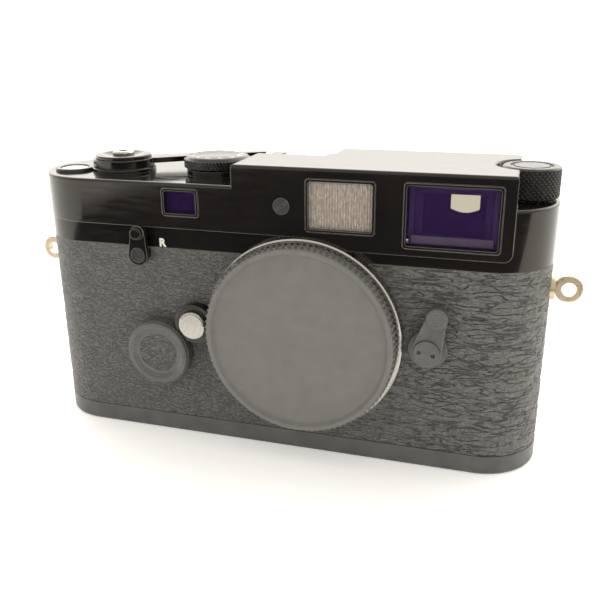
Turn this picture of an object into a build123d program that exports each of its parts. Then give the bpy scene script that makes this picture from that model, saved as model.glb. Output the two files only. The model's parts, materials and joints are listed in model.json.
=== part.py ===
"""Rangefinder film camera with its body cap on, as separate named pieces.

Frame: X along the camera's length, positive to the right of a person who faces the lens mount;
Y from front to back; Z up. The origin lies on the underside of the base plate, in the middle of
the body's length and depth. All sizes are in millimetres.
"""
from build123d import *
import math
import os

# ---- overall body ----
BODY_LENGTH = 138.0
BODY_DEPTH = 31.4
BODY_HEIGHT = 77.0
END_RADIUS = 15.0
SKIN = 0.8                    # leather covering
SHELL_WALL = 1.4
COVER_WALL = 1.0
BASE_HEIGHT = 5.1
SKIN_TOP = 54.0               # leather ends and the top cover begins
EDGE = 0.7                    # rounding of the cover's upper edges
PLAY = 0.05                   # radial clearance of a running fit
GAP = 0.25                    # clearance between pieces that pass one another
HALF_L = BODY_LENGTH / 2
HALF_D = BODY_DEPTH / 2

# ---- top cover ----
PANEL_PROUD = 1.86            # raised front panel, in front of the leather
LEDGE_LEFT = SKIN_TOP + 5.9   # panel's lower edge, left of the mount
LEDGE_RIGHT = SKIN_TOP + 3.2  # and right of it
APRON_CORNER = 2.0
DECK_LEFT = BODY_HEIGHT - 5.3
DECK_RIGHT = BODY_HEIGHT - 8.1
HOUSING_LEFT = -8.7
HOUSING_RIGHT = HALF_L - 9.7
SHOE_BAY_RIGHT = 11.5         # the housing steps back here to leave room for the shoe
SHOE_BAY_FRONT = 2.0

# ---- lens mount and body cap ----
MOUNT_X = 9.4
MOUNT_Z = 34.0
FLANGE_PROUD = 3.4            # flange face, in front of the leather
FLANGE_TO_FILM = 27.8
FLANGE_CHAMFER = 0.35
THROAT_RADIUS = 22.0
LUG_RADIUS = THROAT_RADIUS + 1.0
LUG_COUNT = 3
LUG_ANGLE = 40.0
LUG_THICKNESS = 1.0
LUG_ROOM = 0.4                # radial room round the lugs in their groove
LIP_DEPTH = 1.2               # thickness of the flange lips that the lugs turn behind
FLANGE_RADIUS = LUG_RADIUS + 2.8
MOUNT_SCREWS_RADIUS = LUG_RADIUS + 1.45
MOUNT_SCREW_ANGLES = (45, 135, 225, 315)
SCREW_SHANK = 0.5
SCREW_HEAD = 0.95
SCREW_HEAD_DEPTH = 0.7
SCREW_SLOT = 0.3
CAP_RADIUS = FLANGE_RADIUS - 1.0
CAP_THICKNESS = 4.0
CAP_RIM = 1.65
CAP_RIM_SLOPE = 0.7
CAP_RECESS = 0.9
CAP_FLOOR = 1.3
CAP_EDGE = 0.45
CAP_TEETH = 98
CAP_SKIRT = 3.1
CAP_SKIRT_WALL = 1.55
CAP_TURN = 60.0

# ---- windows: (left, right, bottom, top) of each frame's outside ----
FINDER_WINDOW = (HOUSING_RIGHT - 25.3, HOUSING_RIGHT - 2.7, BODY_HEIGHT - 18.1, BODY_HEIGHT - 2.3)
FRAMELINE_WINDOW = (10.25, 27.45, BODY_HEIGHT - 15.6, BODY_HEIGHT - 2.5)
RANGE_WINDOW = (-27.9, -17.7, BODY_HEIGHT - 13.9, BODY_HEIGHT - 6.6)
BEZEL = 0.75
BEZEL_PROUD = 0.2
BEZEL_EDGE = 0.18
WINDOW_CORNER = 1.0
GLASS_THICKNESS = 0.9
RIB_COUNT = 22
RIB_SHARE = 0.36              # each rib's radius as a share of the rib spacing
PRISM_LOW = SKIN_TOP + 6.4
PRISM_BACK = 9.0
OBJECTIVE = 2.2
EYEPIECE = (FINDER_WINDOW[0] + 10.0, BODY_HEIGHT - 8.0)     # x, z
EYEPIECE_RADIUS = 6.0
EYEPIECE_PROUD = 1.9
EYEPIECE_WALL = 1.6

# ---- advance lever, release button, speed dial and counter ----
HUB = (22.8 - HALF_L, -2.5)
HUB_RADIUS = 8.3
HUB_BASE_RADIUS = HUB_RADIUS + 0.3
HUB_CAP_RADIUS = HUB_RADIUS - 0.8
HUB_TOP = BODY_HEIGHT - 0.9
HUB_BORE = 3.6
HUB_CAP_SINK = 0.7            # depth of the cap's seat in the lever
LEVER_LOW = BODY_HEIGHT - 3.3
LEVER_HIGH = BODY_HEIGHT - 1.9
LEVER_RIM = 0.8
ARM_POINTS = ((7.6, 4.1, 3.4), (14.2, 8.3, 2.8), (24.2, 14.5, 2.2), (33.8, 19.1, 1.1))
BUTTON_RADIUS = 2.9
BUTTON_TRAVEL = 1.6
BUTTON_HEAD = 1.9
BUTTON_STEM = 2.0
CABLE_THREAD_RADIUS = 1.15
CABLE_THREAD_DEPTH = 4.0
DISH_RADIUS = 14.0
DISH_DEPTH = 1.4
DIAL = (-18.9, -1.0)
DIAL_RADIUS = 8.9
DIAL_BASE_RADIUS = DIAL_RADIUS - 0.6
DIAL_BASE = 1.5
DIAL_BORE = 3.0
DIAL_TOP = BODY_HEIGHT - 0.4
DIAL_TEETH = 72
COUNTER = (9.2 - HALF_L, -5.9)
COUNTER_GLASS = 3.9
COUNTER_RING = COUNTER_GLASS + 1.25
COUNTER_RING_HEIGHT = 0.8
COUNTER_DOME = 16.0
COUNTER_DISC = 0.6
COUNTER_SPINDLE = 5.0

# ---- rewind ----
KNOB = (HALF_L - 7.3, 0.0)
KNOB_RADIUS = 7.0
KNOB_RECESS = KNOB_RADIUS + 1.2
KNOB_SHAFT = 2.0
KNOB_GROOVE = (5.0, 4.2)
KNOB_GROOVE_DEPTH = 0.35
GEAR_MODULE = 0.4
REWIND_TEETH = 20
GEAR_LOW = SKIN_TOP + 4.0
GEAR_HIGH = SKIN_TOP + 6.0
BRIDGE_TOP = SKIN_TOP + 7.4
BRIDGE_HALF = GEAR_MODULE * REWIND_TEETH / 2 + 1.4
BRIDGE_DEPTH = 6.2
BRIDGE_PLATE = 1.2
PINION_PIN = 1.2
FORK_SHAFT = 1.7
FORK_RADIUS = 3.0
FORK_SLOT = 2.4
FORK_LENGTH = 8.0
CASSETTE_RADIUS = 12.5

# ---- front controls ----
REVERSER = (-35.2, SKIN_TOP - 1.7)      # rewind release lever's pivot
REVERSER_KNOB = (-34.9, SKIN_TOP + 4.4)
REVERSER_STEM = 0.7
REVERSER_BOSS = 2.3
REVERSER_PLATE = 1.15
REVERSER_FOOT = 2.7
REVERSER_TIP = 1.95
REVERSER_SEAT = 2.0
RELEASE_CLEAR = 4.0                     # lens release button, beside the flange
RELEASE = (MOUNT_X - FLANGE_RADIUS - RELEASE_CLEAR, 34.3)
RELEASE_RADIUS = 3.85
RELEASE_STEM = 2.35
RELEASE_TRAVEL = 2.0
RELEASE_PIN = 0.6
RELEASE_ARM = 0.8
GUARD_RADIUS = RELEASE_RADIUS + 1.45
GUARD_SINK = 1.4                        # guard's face, behind the battery cover's
SELECTOR = (41.2, 33.5)                 # frame selector
SELECTOR_TIP = (43.3, 42.6)
SELECTOR_RADIUS = 4.9
SELECTOR_STEM = 1.6
SELECTOR_DISC = 3.7
SELECTOR_KNOB = 2.7
SPANNER_DISC = 3.3
SPANNER_HOLES = 1.7
SPANNER_HOLE = 0.65
BATTERY = (-31.2, 25.2)
BATTERY_PROUD = 4.3                     # cover's face, in front of the leather
BATTERY_INLAY = 5.6
BATTERY_TEETH = 96
CELL_RADIUS = 5.8
CELL_HEIGHT = 5.4
CHAMBER_BORE = CELL_RADIUS + 0.8
CHAMBER_WALL = 0.8
BATTERY_RADIUS = CHAMBER_BORE + 2.55
LUG_REACH = 4.2                         # strap eye's centre, outside the body's end
LUG_Z = 46.8
LUG_HOLE = 1.8
LUG_RING = LUG_HOLE + 1.7
LUG_HALF = 1.1
LUG_STEM = 1.5
LUG_FOOT = 3.1
LUG_SINK = 0.4                          # depth of the spot face under each lug's foot
FRONT_SCREW = (4.3, BODY_HEIGHT - 9.6)
FRONT_SCREW_HEAD = 2.1

# ---- accessory shoe ----
SHOE_WIDTH = 19.9
SHOE_SLOT = 18.7
SHOE_GAP = 12.5
SHOE_THICKNESS = 0.8
SHOE_RAIL_HEIGHT = 2.1
SHOE_SCREWS = (5.5, 3.6)

# ---- inside ----
GATE_WIDTH = 36.0
GATE_HEIGHT = 24.0
GATE_WALL = 0.9
RAIL_HEIGHT = 0.4
RAIL_OFFSETS = (14.0, 18.0)
RAIL = 1.0
PLATE_LOW = BASE_HEIGHT + 3.3           # crate's bottom plate, lower face
PLATE_HIGH = SKIN_TOP - 2.4             # crate's top plate, upper face
PLATE = 1.2
CRATE_WALL = 0.8
TUNNEL = (20.0, 17.0, 16.4)             # light box: half width, reach below and above the axis
SPOOL_RADIUS = 6.0
SPOOL_FLANGE = 3.5
SPOOL_FLANGE_HEIGHT = 1.5
SPOOL_SLOT = 1.6
SPOOL_SHAFT = 2.5
SPOOL_SHAFT_TOP = SKIN_TOP + 3.0
SHAFT_RADIUS = 1.6
SPROCKET = (-17.0, 3.2)
SPROCKET_RADIUS = 5.0
SPROCKET_WAIST = 3.6
SPROCKET_TEETH = 8
SPROCKET_BAND = 2.6
SPROCKET_BANDS = 14.2
DRUM = (-17.0, -6.7)
DRUM_RADIUS = 3.6
CURTAIN_HEIGHT = 28.0
CURTAIN = 0.3
CURTAIN_SPACING = 0.7
LATH = 1.6
ARM_PIVOT = (-6.0, -9.6)
ARM_PIN = 0.9
ARM_HUB = 2.0
ROLLER = 1.5
ROLLER_Y = -11.0
MIRROR_PIN = 0.9
MIRROR_Y = (-13.0, -4.6)

# ---- back door ----
DOOR_LEFT = -24.0
DOOR_RIGHT = 38.9
DOOR_LOW = BASE_HEIGHT + 0.4
DOOR_HIGH = SKIN_TOP - 2.0
DOOR_TOP_GAP = 1.0
DOOR_THICKNESS = 1.8
HINGE_Y = HALF_D - 1.4
HINGE_DROP = 0.8
HINGE_PIN = 0.5
HINGE_END = 2.5
FILM_DIAL = (9.4, 30.0)
FILM_DIAL_RADIUS = 9.5
FILM_DIAL_PROUD = 0.9
FILM_DIAL_SLOT = (15.0, 1.6)
FILM_DIAL_STEM = 1.5
PLATE_STUD = 1.2
PLATE_TRAVEL = 0.8
PLATE_STUDS = (14.0, 10.0)
PLATE_MARGINS = (5.0, 4.0)
FILM_CHANNEL = 0.2

# ---- base plate ----
BASE_WALL = 1.1
BASE_EDGE = 0.6
BASE_SWING = 25.0
KEY = (HALF_L - 19.0, 0.0)
KEY_RADIUS = 7.0
KEY_DISC = 2.1
KEY_BAR = (2.4, 9.5)
BAIL_OUTER = 5.6
BAIL_INNER = 4.1
BAIL_DEPTH = 1.35
BAIL_AXIS_Z = 0.78
BAIL_PIN = 0.42
TRIPOD = (17.0 - HALF_L, 0.0)
TRIPOD_BORE = 2.6             # 1/4"-20 thread, at its minor diameter
TRIPOD_BUSH_WALL = 1.6
TRIPOD_BOSS_WALL = 1.8
TRIPOD_DEPTH = BASE_HEIGHT + 0.5
HOOK_FROM_END = 4.6
HOOK_PIN_RADIUS = 0.9
HOOK_PIN_RISE = 1.3           # pin's centre above the parting line
HOOK_REACH = 8.0
HOOK_ARC = 8.0                # the hook block's nose, round the rim that the plate tips on
HOOK_STEPS = 5

# ---- places that follow from the sizes above ----
SHELL_L = HALF_L - SKIN
SHELL_D = HALF_D - SKIN
INNER_D = SHELL_D - SHELL_WALL
PANEL_FRONT = -(HALF_D + PANEL_PROUD)
PANEL_RADIUS = -PANEL_FRONT
PANEL_ARC_X = -HALF_L + PANEL_RADIUS
FLANGE_FACE = -(HALF_D + FLANGE_PROUD)
CAP_BACK = FLANGE_FACE - 0.1
CAP_FACE = CAP_BACK - CAP_THICKNESS
BATTERY_FACE = -(HALF_D + BATTERY_PROUD)
FILM_PLANE = FLANGE_FACE + FLANGE_TO_FILM
GEAR_SPACING = GEAR_MODULE * REWIND_TEETH
CASSETTE = (KNOB[0] - GEAR_SPACING, KNOB[1])
BUTTON_TOP = BODY_HEIGHT - 0.1
LUG_X = HALF_L + LUG_REACH
DOOR_HINGE = (HINGE_Y, DOOR_HIGH - HINGE_DROP)
HOOK_PIN = (HOOK_FROM_END - HALF_L, BASE_HEIGHT + HOOK_PIN_RISE)
SHOE_X = (HOUSING_LEFT + SHOE_BAY_RIGHT) / 2
SHOE_FLOOR = DECK_LEFT + SHOE_THICKNESS
SHOE_FRONT = SHOE_BAY_FRONT + 0.5
SHOE_BACK = HALF_D - 0.4
FAR = 100.0                   # reach of a cutting tool that passes right through


# ---- shared shapes ----
def box(x0, x1, y0, y1, z0, z1):
    return Pos((x0 + x1) / 2, (y0 + y1) / 2, (z0 + z1) / 2) * Box(x1 - x0, y1 - y0, z1 - z0)


def post(place, z0, z1, radius):
    """Upright cylinder at (x, y)."""
    return Pos(place[0], place[1], (z0 + z1) / 2) * Cylinder(radius, z1 - z0)


def stub(place, y0, y1, radius):
    """Cylinder along Y at (x, z)."""
    return Pos(place[0], (y0 + y1) / 2, place[1]) * Rot(90, 0, 0) * Cylinder(radius, y1 - y0)


def rod(place, x0, x1, radius):
    """Cylinder along X at (y, z)."""
    return Pos((x0 + x1) / 2, place[0], place[1]) * Rot(0, 90, 0) * Cylinder(radius, x1 - x0)


def ring(place, z0, z1, outer, inner):
    return post(place, z0, z1, outer) - post(place, z0 - 1, z1 + 1, inner)


def collar(place, y0, y1, outer, inner):
    return stub(place, y0, y1, outer) - stub(place, y0 - 1, y1 + 1, inner)


def rounded_block(window, y0, y1, corner):
    """Block along Y whose front view is a rectangle with round corners."""
    left, right, low, high = window
    outline = RectangleRounded(right - left, high - low, corner)
    solid = extrude(Plane.XZ * outline, amount=(y1 - y0) / 2, both=True)
    return Pos((left + right) / 2, (y0 + y1) / 2, (low + high) / 2) * solid


def inset(window, step):
    left, right, low, high = window
    return left + step, right - step, low + step, high - step


def body_prism(step, z0, z1):
    """Upright prism on the body's outline, moved in by step."""
    outline = RectangleRounded(2 * (HALF_L - step), 2 * (HALF_D - step), END_RADIUS - step)
    return Pos(0, 0, z0) * extrude(outline, z1 - z0)


def toothed(count, root, tip, height, phase=0.0, root_share=0.62, tip_share=0.26):
    """Disc with straight teeth, from z = 0 up; one tooth points along phase (degrees)."""
    pitch = 2 * math.pi / count
    corners = ((-root_share, root), (-tip_share, tip), (tip_share, tip), (root_share, root))
    points = []
    for tooth in range(count):
        middle = math.radians(phase) + tooth * pitch
        for share, radius in corners:
            angle = middle + share * pitch / 2
            points.append((radius * math.cos(angle), radius * math.sin(angle)))
    return extrude(make_face(Polyline(*points, close=True)), height)


def toothed_stub(place, y0, y1, count, root, tip, **shape):
    """Toothed disc with its axis along Y."""
    return Pos(place[0], y1, place[1]) * Rot(90, 0, 0) * toothed(count, root, tip, y1 - y0, **shape)


def sector(place, y0, y1, outer, middle, spread):
    """Slice of a disc along Y, spread degrees wide about the angle middle."""
    reach = 2 * outer
    points = [(0, 0)]
    for turn in (-spread / 2, 0, spread / 2):
        angle = math.radians(middle + turn)
        points.append((reach * math.cos(angle), reach * math.sin(angle)))
    wedge = extrude(Plane.XZ * make_face(Polyline(*points, close=True)), amount=FAR, both=True)
    return stub(place, y0, y1, outer) & (Pos(place[0], 0, place[1]) * wedge)


def slotted_head(place, y_front, y_back, radius, width, depth, turn):
    """Screw head along Y with a straight driver slot."""
    head = stub(place, y_front, y_back, radius)
    slot = Pos(place[0], y_front, place[1]) * Rot(0, turn, 0) * Box(3 * radius, 2 * depth, width)
    return head - slot


def soften(solid, z, size, near=None):
    """Round the edges that lie in the level plane z, all of them or those that near picks."""
    edges = solid.edges().filter_by_position(Axis.Z, z - 1e-4, z + 1e-4)
    if near:
        edges = edges.filter_by(near)
    return fillet(edges, size)


def upright(points, z0, z1):
    return Pos(0, 0, z0) * extrude(make_face(Polyline(*points, close=True)), z1 - z0)


# ---- body, covering and crate ----
def rear_opening():
    return box(DOOR_LEFT - GAP, DOOR_RIGHT + GAP, HALF_D / 3, FAR, 0, DOOR_HIGH + DOOR_TOP_GAP)


def make_body_shell():
    shell = body_prism(SKIN, BASE_HEIGHT, SKIN_TOP) - body_prism(SKIN + SHELL_WALL, 0, FAR)
    shell -= stub((MOUNT_X, MOUNT_Z), -FAR, 0, LUG_RADIUS + LUG_ROOM)
    shell -= rear_opening()
    shell -= stub(BATTERY, -FAR, 0, CHAMBER_BORE + CHAMBER_WALL)
    shell -= stub(RELEASE, -FAR, 0, RELEASE_STEM + PLAY)
    shell -= stub(release_pin_place(), -FAR, 0, RELEASE_PIN + PLAY)
    shell -= stub(SELECTOR, -FAR, 0, SELECTOR_STEM + PLAY)
    shell -= stub(REVERSER, -FAR, 0, REVERSER_STEM)
    shell -= rod((0, LUG_Z), -FAR, FAR, LUG_STEM)
    for end in (-FAR, FAR):
        spot = math.copysign(SHELL_L - LUG_SINK, end)
        shell -= rod((0, LUG_Z), min(end, spot), max(end, spot), LUG_FOOT)
    shell -= rod(DOOR_HINGE, DOOR_LEFT - HINGE_END, DOOR_RIGHT + HINGE_END, HINGE_PIN)
    shell -= stub(HOOK_PIN, -HOOK_REACH, HOOK_REACH, HOOK_PIN_RADIUS)
    for place in mount_screw_places():
        shell -= stub(place, -FAR, 0, SCREW_SHANK)
    return shell


def make_leather_wrap():
    skin = body_prism(0, BASE_HEIGHT, SKIN_TOP) - body_prism(SKIN, 0, FAR)
    skin -= stub((MOUNT_X, MOUNT_Z), -FAR, 0, FLANGE_RADIUS + PLAY)
    skin -= rear_opening()
    skin -= stub(BATTERY, -FAR, 0, BATTERY_RADIUS)
    skin -= stub(RELEASE, -FAR, 0, GUARD_RADIUS)
    skin -= stub(SELECTOR, -FAR, 0, SELECTOR_RADIUS)
    skin -= stub(REVERSER, -FAR, 0, REVERSER_BOSS)
    skin -= rod((0, LUG_Z), -FAR, FAR, LUG_FOOT + PLAY)
    return skin


def make_chassis():
    """Crate that holds the shutter: two plates, the light box and the cassette wall."""
    left, right = SPROCKET[0] - 9.0, min(CASSETTE[0] - CASSETTE_RADIUS, DOOR_RIGHT + 2.3) - CRATE_WALL
    front = -INNER_D + 0.6
    back = FILM_PLANE - 1.3
    levels = ((PLATE_LOW, PLATE_LOW + PLATE), (PLATE_HIGH - PLATE, PLATE_HIGH))
    crate = box(right - CRATE_WALL, right, front, back, PLATE_LOW, PLATE_HIGH)
    for low, high in levels:
        crate += box(left, right, front, back, low, high)
    half, below, above = TUNNEL
    low, high = PLATE_LOW + PLATE, PLATE_HIGH - PLATE
    walls = box(MOUNT_X - half, MOUNT_X + half, front + 3.0, back - 2.6, low, high)
    inner = half - CRATE_WALL
    walls -= box(MOUNT_X - inner, MOUNT_X + inner, -FAR, FAR,
                 MOUNT_Z - below + CRATE_WALL, MOUNT_Z + above - CRATE_WALL)
    crate += walls
    for place in (SPROCKET, DRUM):
        crate -= post(place, 0, FAR, SHAFT_RADIUS + PLAY)
    room = ARM_HUB + 0.4
    crate -= box(ARM_PIVOT[0] - room, MOUNT_X + 4.0, -FAR, ARM_PIVOT[1] + 3.2, PLATE_HIGH - 8.0, FAR)
    crate -= post(ARM_PIVOT, 0, FAR, room)
    crate += ring(ARM_PIVOT, PLATE_HIGH - PLATE, PLATE_HIGH, room + 1.0, ARM_PIN + PLAY)
    return crate


def make_film_gate():
    """Pressure frame with the picture aperture and two pairs of film rails."""
    low, high = PLATE_LOW + PLATE, PLATE_HIGH - PLATE
    left, right = MOUNT_X - GATE_WIDTH / 2 - 3.6, MOUNT_X + GATE_WIDTH / 2 + 6.0
    back = FILM_PLANE - RAIL_HEIGHT
    gate = box(left, right, back - GATE_WALL, back, low, high)
    for offset in RAIL_OFFSETS:
        for side in (-1, 1):
            z = MOUNT_Z + side * offset
            z = min(max(z, low + RAIL / 2), high - RAIL / 2)
            gate += box(left, right, back, FILM_PLANE, z - RAIL / 2, z + RAIL / 2)
    half_w, half_h = GATE_WIDTH / 2, GATE_HEIGHT / 2
    return gate - box(MOUNT_X - half_w, MOUNT_X + half_w, 0, FAR, MOUNT_Z - half_h, MOUNT_Z + half_h)


# ---- top cover ----
def panel_outline(step):
    """Outline of the cover's left half with the raised front, moved in by step."""
    front, back = PANEL_FRONT + step, HALF_D - step
    big = PANEL_RADIUS - step
    small = END_RADIUS - step
    end = -HALF_L + step
    middle = HOUSING_RIGHT / 2
    arc_y = HALF_D - END_RADIUS
    tip = math.sqrt(0.5)
    edges = [
        Line((PANEL_ARC_X, front), (middle, front)),
        Line((middle, front), (middle, back)),
        Line((middle, back), (-HALF_L + END_RADIUS, back)),
        ThreePointArc((-HALF_L + END_RADIUS, back),
                      (-HALF_L + END_RADIUS - small * tip, arc_y + small * tip), (end, arc_y)),
        Line((end, arc_y), (end, 0)),
        ThreePointArc((end, 0), (PANEL_ARC_X - big * tip, -big * tip), (PANEL_ARC_X, front)),
    ]
    return make_face(edges)


def housing_prism(step, z0, z1):
    """Raised finder housing, stepped back for the shoe, and clear of the rewind knob."""
    points = [
        (HOUSING_LEFT + step, PANEL_FRONT + step),
        (HOUSING_RIGHT - step, PANEL_FRONT + step),
        (HOUSING_RIGHT - step, HALF_D - step),
        (SHOE_BAY_RIGHT + step, HALF_D - step),
        (SHOE_BAY_RIGHT + step, SHOE_BAY_FRONT - step),
        (HOUSING_LEFT + step, SHOE_BAY_FRONT - step),
    ]
    block = upright(points, z0, z1) - post(KNOB, 0, FAR, KNOB_RECESS + step)
    front = box(-FAR, FAR, -FAR, 0, z0, z1)
    return block & (front + body_prism(step, z0, z1))


def make_top_cover():
    low = SKIN_TOP
    cover = soften(body_prism(0, low, DECK_RIGHT), DECK_RIGHT, EDGE)
    left = Pos(0, 0, LEDGE_LEFT) * extrude(panel_outline(0), DECK_LEFT - LEDGE_LEFT)
    cover += soften(left, DECK_LEFT, EDGE)
    left_half = box(-FAR, HOUSING_RIGHT / 2, -FAR, FAR, 0, FAR)
    cover += body_prism(0, low, DECK_LEFT - 2 * EDGE) & left_half
    housing = housing_prism(0, LEDGE_LEFT, BODY_HEIGHT)
    cover += soften(housing, BODY_HEIGHT, EDGE)
    apron = box(MOUNT_X, HOUSING_RIGHT, PANEL_FRONT, -HALF_D + 1, LEDGE_RIGHT, LEDGE_LEFT + 1)
    corner = apron.edges().filter_by(Axis.Y).sort_by(Axis.Z)[:2].sort_by(Axis.X)[-1]
    cover += fillet(corner, APRON_CORNER)
    step = COVER_WALL
    hollow = body_prism(step, 0, DECK_RIGHT - step)
    panel_height = DECK_LEFT - LEDGE_LEFT - 2 * step
    hollow += Pos(0, 0, LEDGE_LEFT + step) * extrude(panel_outline(step), panel_height)
    hollow += body_prism(step, 0, DECK_LEFT - step) & left_half
    hollow += housing_prism(step, LEDGE_LEFT + step, BODY_HEIGHT - step)
    cover -= hollow
    for window in (FINDER_WINDOW, FRAMELINE_WINDOW, RANGE_WINDOW):
        cover -= rounded_block(window, -FAR, SHOE_BAY_FRONT - HALF_D, WINDOW_CORNER)
    cover -= stub(EYEPIECE, PRISM_BACK, FAR, EYEPIECE_RADIUS - 1)
    cover -= post(HUB, 0, FAR, HUB_BORE)
    cover -= post(DIAL, 0, FAR, DIAL_BORE)
    cover -= post(COUNTER, 0, FAR, COUNTER_GLASS)
    cover -= post(KNOB, 0, FAR, KNOB_SHAFT + PLAY)
    cover -= stub(FRONT_SCREW, -FAR, 0, SCREW_SHANK)
    cover -= stub((MOUNT_X, MOUNT_Z), -FAR, 0, FLANGE_RADIUS + PLAY)
    cover -= stub(REVERSER, -FAR, 0, REVERSER_BOSS)
    for place in shoe_screw_places():
        cover -= post(place, 0, FAR, SCREW_SHANK)
    return cover


# ---- windows and finder ----
def make_window_bezels():
    frames = []
    for window in (FINDER_WINDOW, FRAMELINE_WINDOW, RANGE_WINDOW):
        front = PANEL_FRONT - BEZEL_PROUD
        back = PANEL_FRONT + COVER_WALL + GLASS_THICKNESS
        frame = rounded_block(window, front, back, WINDOW_CORNER)
        frame = fillet(frame.faces().sort_by(Axis.Y)[0].edges(), BEZEL_EDGE)
        opening = inset(window, BEZEL)
        frame -= rounded_block(opening, front - 1, back + 1, WINDOW_CORNER - 0.4)
        frames.append(frame)
    return frames


def window_glass(window):
    front = PANEL_FRONT + COVER_WALL
    return rounded_block(inset(window, BEZEL), front, front + GLASS_THICKNESS, WINDOW_CORNER - 0.4)


def make_finder_windows():
    return [window_glass(FINDER_WINDOW), window_glass(RANGE_WINDOW)]


def make_frameline_window():
    """Diffusing window with upright ribs on its front."""
    glass = window_glass(FRAMELINE_WINDOW)
    left, right, low, high = inset(FRAMELINE_WINDOW, BEZEL + 0.5)
    step = (right - left) / RIB_COUNT
    for rib in range(RIB_COUNT):
        x = left + (rib + 0.5) * step
        glass += post((x, PANEL_FRONT + COVER_WALL), low, high, RIB_SHARE * step)
    return glass


def make_viewfinder_block():
    """Finder's glass: the long block, its objective lens and the eyepiece lens."""
    x, z = EYEPIECE
    low, high = PRISM_LOW, BODY_HEIGHT - COVER_WALL - 0.6
    left, right = FINDER_WINDOW[0] + 3, FINDER_WINDOW[1] - 3
    front = PANEL_FRONT + COVER_WALL + GLASS_THICKNESS + 3.0
    objective = box(left, right, front, front + OBJECTIVE, low, high)
    prism = box(left, CASSETTE[0] - BRIDGE_HALF - 0.5, front + OBJECTIVE + 1.0, PRISM_BACK, low, high)
    eye_lens = stub((x, z), HALF_D - 2.6, HALF_D - 0.6, EYEPIECE_RADIUS - EYEPIECE_WALL)
    return [objective, prism, eye_lens]


def make_eyepiece_ring():
    x, z = EYEPIECE
    face = HALF_D + EYEPIECE_PROUD
    flange = stub((x, z), HALF_D, face, EYEPIECE_RADIUS)
    flange = fillet(flange.edges().filter_by(GeomType.CIRCLE).sort_by(Axis.Y)[-1], 0.5)
    barrel = stub((x, z), HALF_D - 3.4, HALF_D + 0.5, EYEPIECE_RADIUS - 1)
    bore = stub((x, z), 0, face + 1, EYEPIECE_RADIUS - EYEPIECE_WALL)
    return flange + barrel - bore


def make_roller_arm():
    """Cam follower arm on an upright pin, with its roller at the top of the throat."""
    x, y = ARM_PIVOT
    z0, z1 = PLATE_HIGH - 4.4, PLATE_HIGH - 2.8
    arm = post(ARM_PIVOT, PLATE_HIGH - 5.4, PLATE_HIGH - PLATE - PLAY, ARM_HUB)
    arm += post(ARM_PIVOT, PLATE_HIGH - 5.4, PLATE_HIGH + 5.0, ARM_PIN)
    points = [(x, y - 1.2), (MOUNT_X, ROLLER_Y - 1.0), (MOUNT_X, ROLLER_Y + 1.0), (x, y + 1.2)]
    arm += upright(points, z0, z1)
    arm += post((MOUNT_X, ROLLER_Y), z0 - 2.6, z1, ROLLER)
    return arm


def make_rangefinder_mirror():
    """Swinging prism behind the small window, on its own upright pin."""
    x = (RANGE_WINDOW[0] + RANGE_WINDOW[1]) / 2
    low, high = RANGE_WINDOW[2] + 0.4, RANGE_WINDOW[3] - 0.4
    front, back = MIRROR_Y
    half = (back - front) / 2
    prism = upright([(x - half, front), (x + half, front), (x - half, back)], low, high)
    pin = post(mirror_pivot(), low - 6.0, low, MIRROR_PIN)
    return prism + pin


def mirror_pivot():
    return (RANGE_WINDOW[0] + RANGE_WINDOW[1]) / 2 - 2.0, MIRROR_Y[0] + 2.5


# ---- lens mount and body cap ----
def mount_screw_places():
    radius = MOUNT_SCREWS_RADIUS
    return [(MOUNT_X + radius * math.cos(math.radians(a)), MOUNT_Z + radius * math.sin(math.radians(a)))
            for a in MOUNT_SCREW_ANGLES]


def release_pin_place():
    return MOUNT_X - MOUNT_SCREWS_RADIUS, MOUNT_Z


def make_mount_ring():
    """Bayonet flange: lips in front, a groove behind them for the lugs."""
    middle = (MOUNT_X, MOUNT_Z)
    flange = stub(middle, FLANGE_FACE, -SHELL_D, FLANGE_RADIUS)
    flange = chamfer(flange.edges().filter_by(GeomType.CIRCLE).sort_by(Axis.Y)[0], FLANGE_CHAMFER)
    flange -= stub(middle, -FAR, FAR, THROAT_RADIUS)
    flange -= stub(middle, FLANGE_FACE + LIP_DEPTH, FAR, LUG_RADIUS + LUG_ROOM)
    for lug in range(LUG_COUNT):
        gap_at = 90 + CAP_TURN + lug * 360 / LUG_COUNT
        flange -= sector(middle, -FAR, FAR, LUG_RADIUS + LUG_ROOM, gap_at, LUG_ANGLE + 6)
    for place in mount_screw_places():
        flange -= stub(place, -FAR, FLANGE_FACE + SCREW_HEAD_DEPTH, SCREW_HEAD)
        flange -= stub(place, -FAR, 0, SCREW_SHANK)
    flange -= stub(release_pin_place(), -FAR, 0, RELEASE_PIN + PLAY)
    return flange


def make_small_screws():
    """Four screws of the mount flange and four of the accessory shoe."""
    screws = []
    for place in mount_screw_places():
        back = FLANGE_FACE + SCREW_HEAD_DEPTH
        head = slotted_head(place, FLANGE_FACE, back, SCREW_HEAD, SCREW_SLOT, SCREW_SLOT, 30)
        screws.append(head + stub(place, FLANGE_FACE + 0.5, -INNER_D, SCREW_SHANK))
    for x, y in shoe_screw_places():
        head = post((x, y), SHOE_FLOOR - 0.6, SHOE_FLOOR, SCREW_HEAD)
        head -= Pos(x, y, SHOE_FLOOR) * Rot(0, 0, 25) * Box(3 * SCREW_HEAD, SCREW_SLOT, 2 * SCREW_SLOT)
        screws.append(head + post((x, y), DECK_LEFT - COVER_WALL, SHOE_FLOOR - 0.5, SCREW_SHANK))
    return screws


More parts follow.
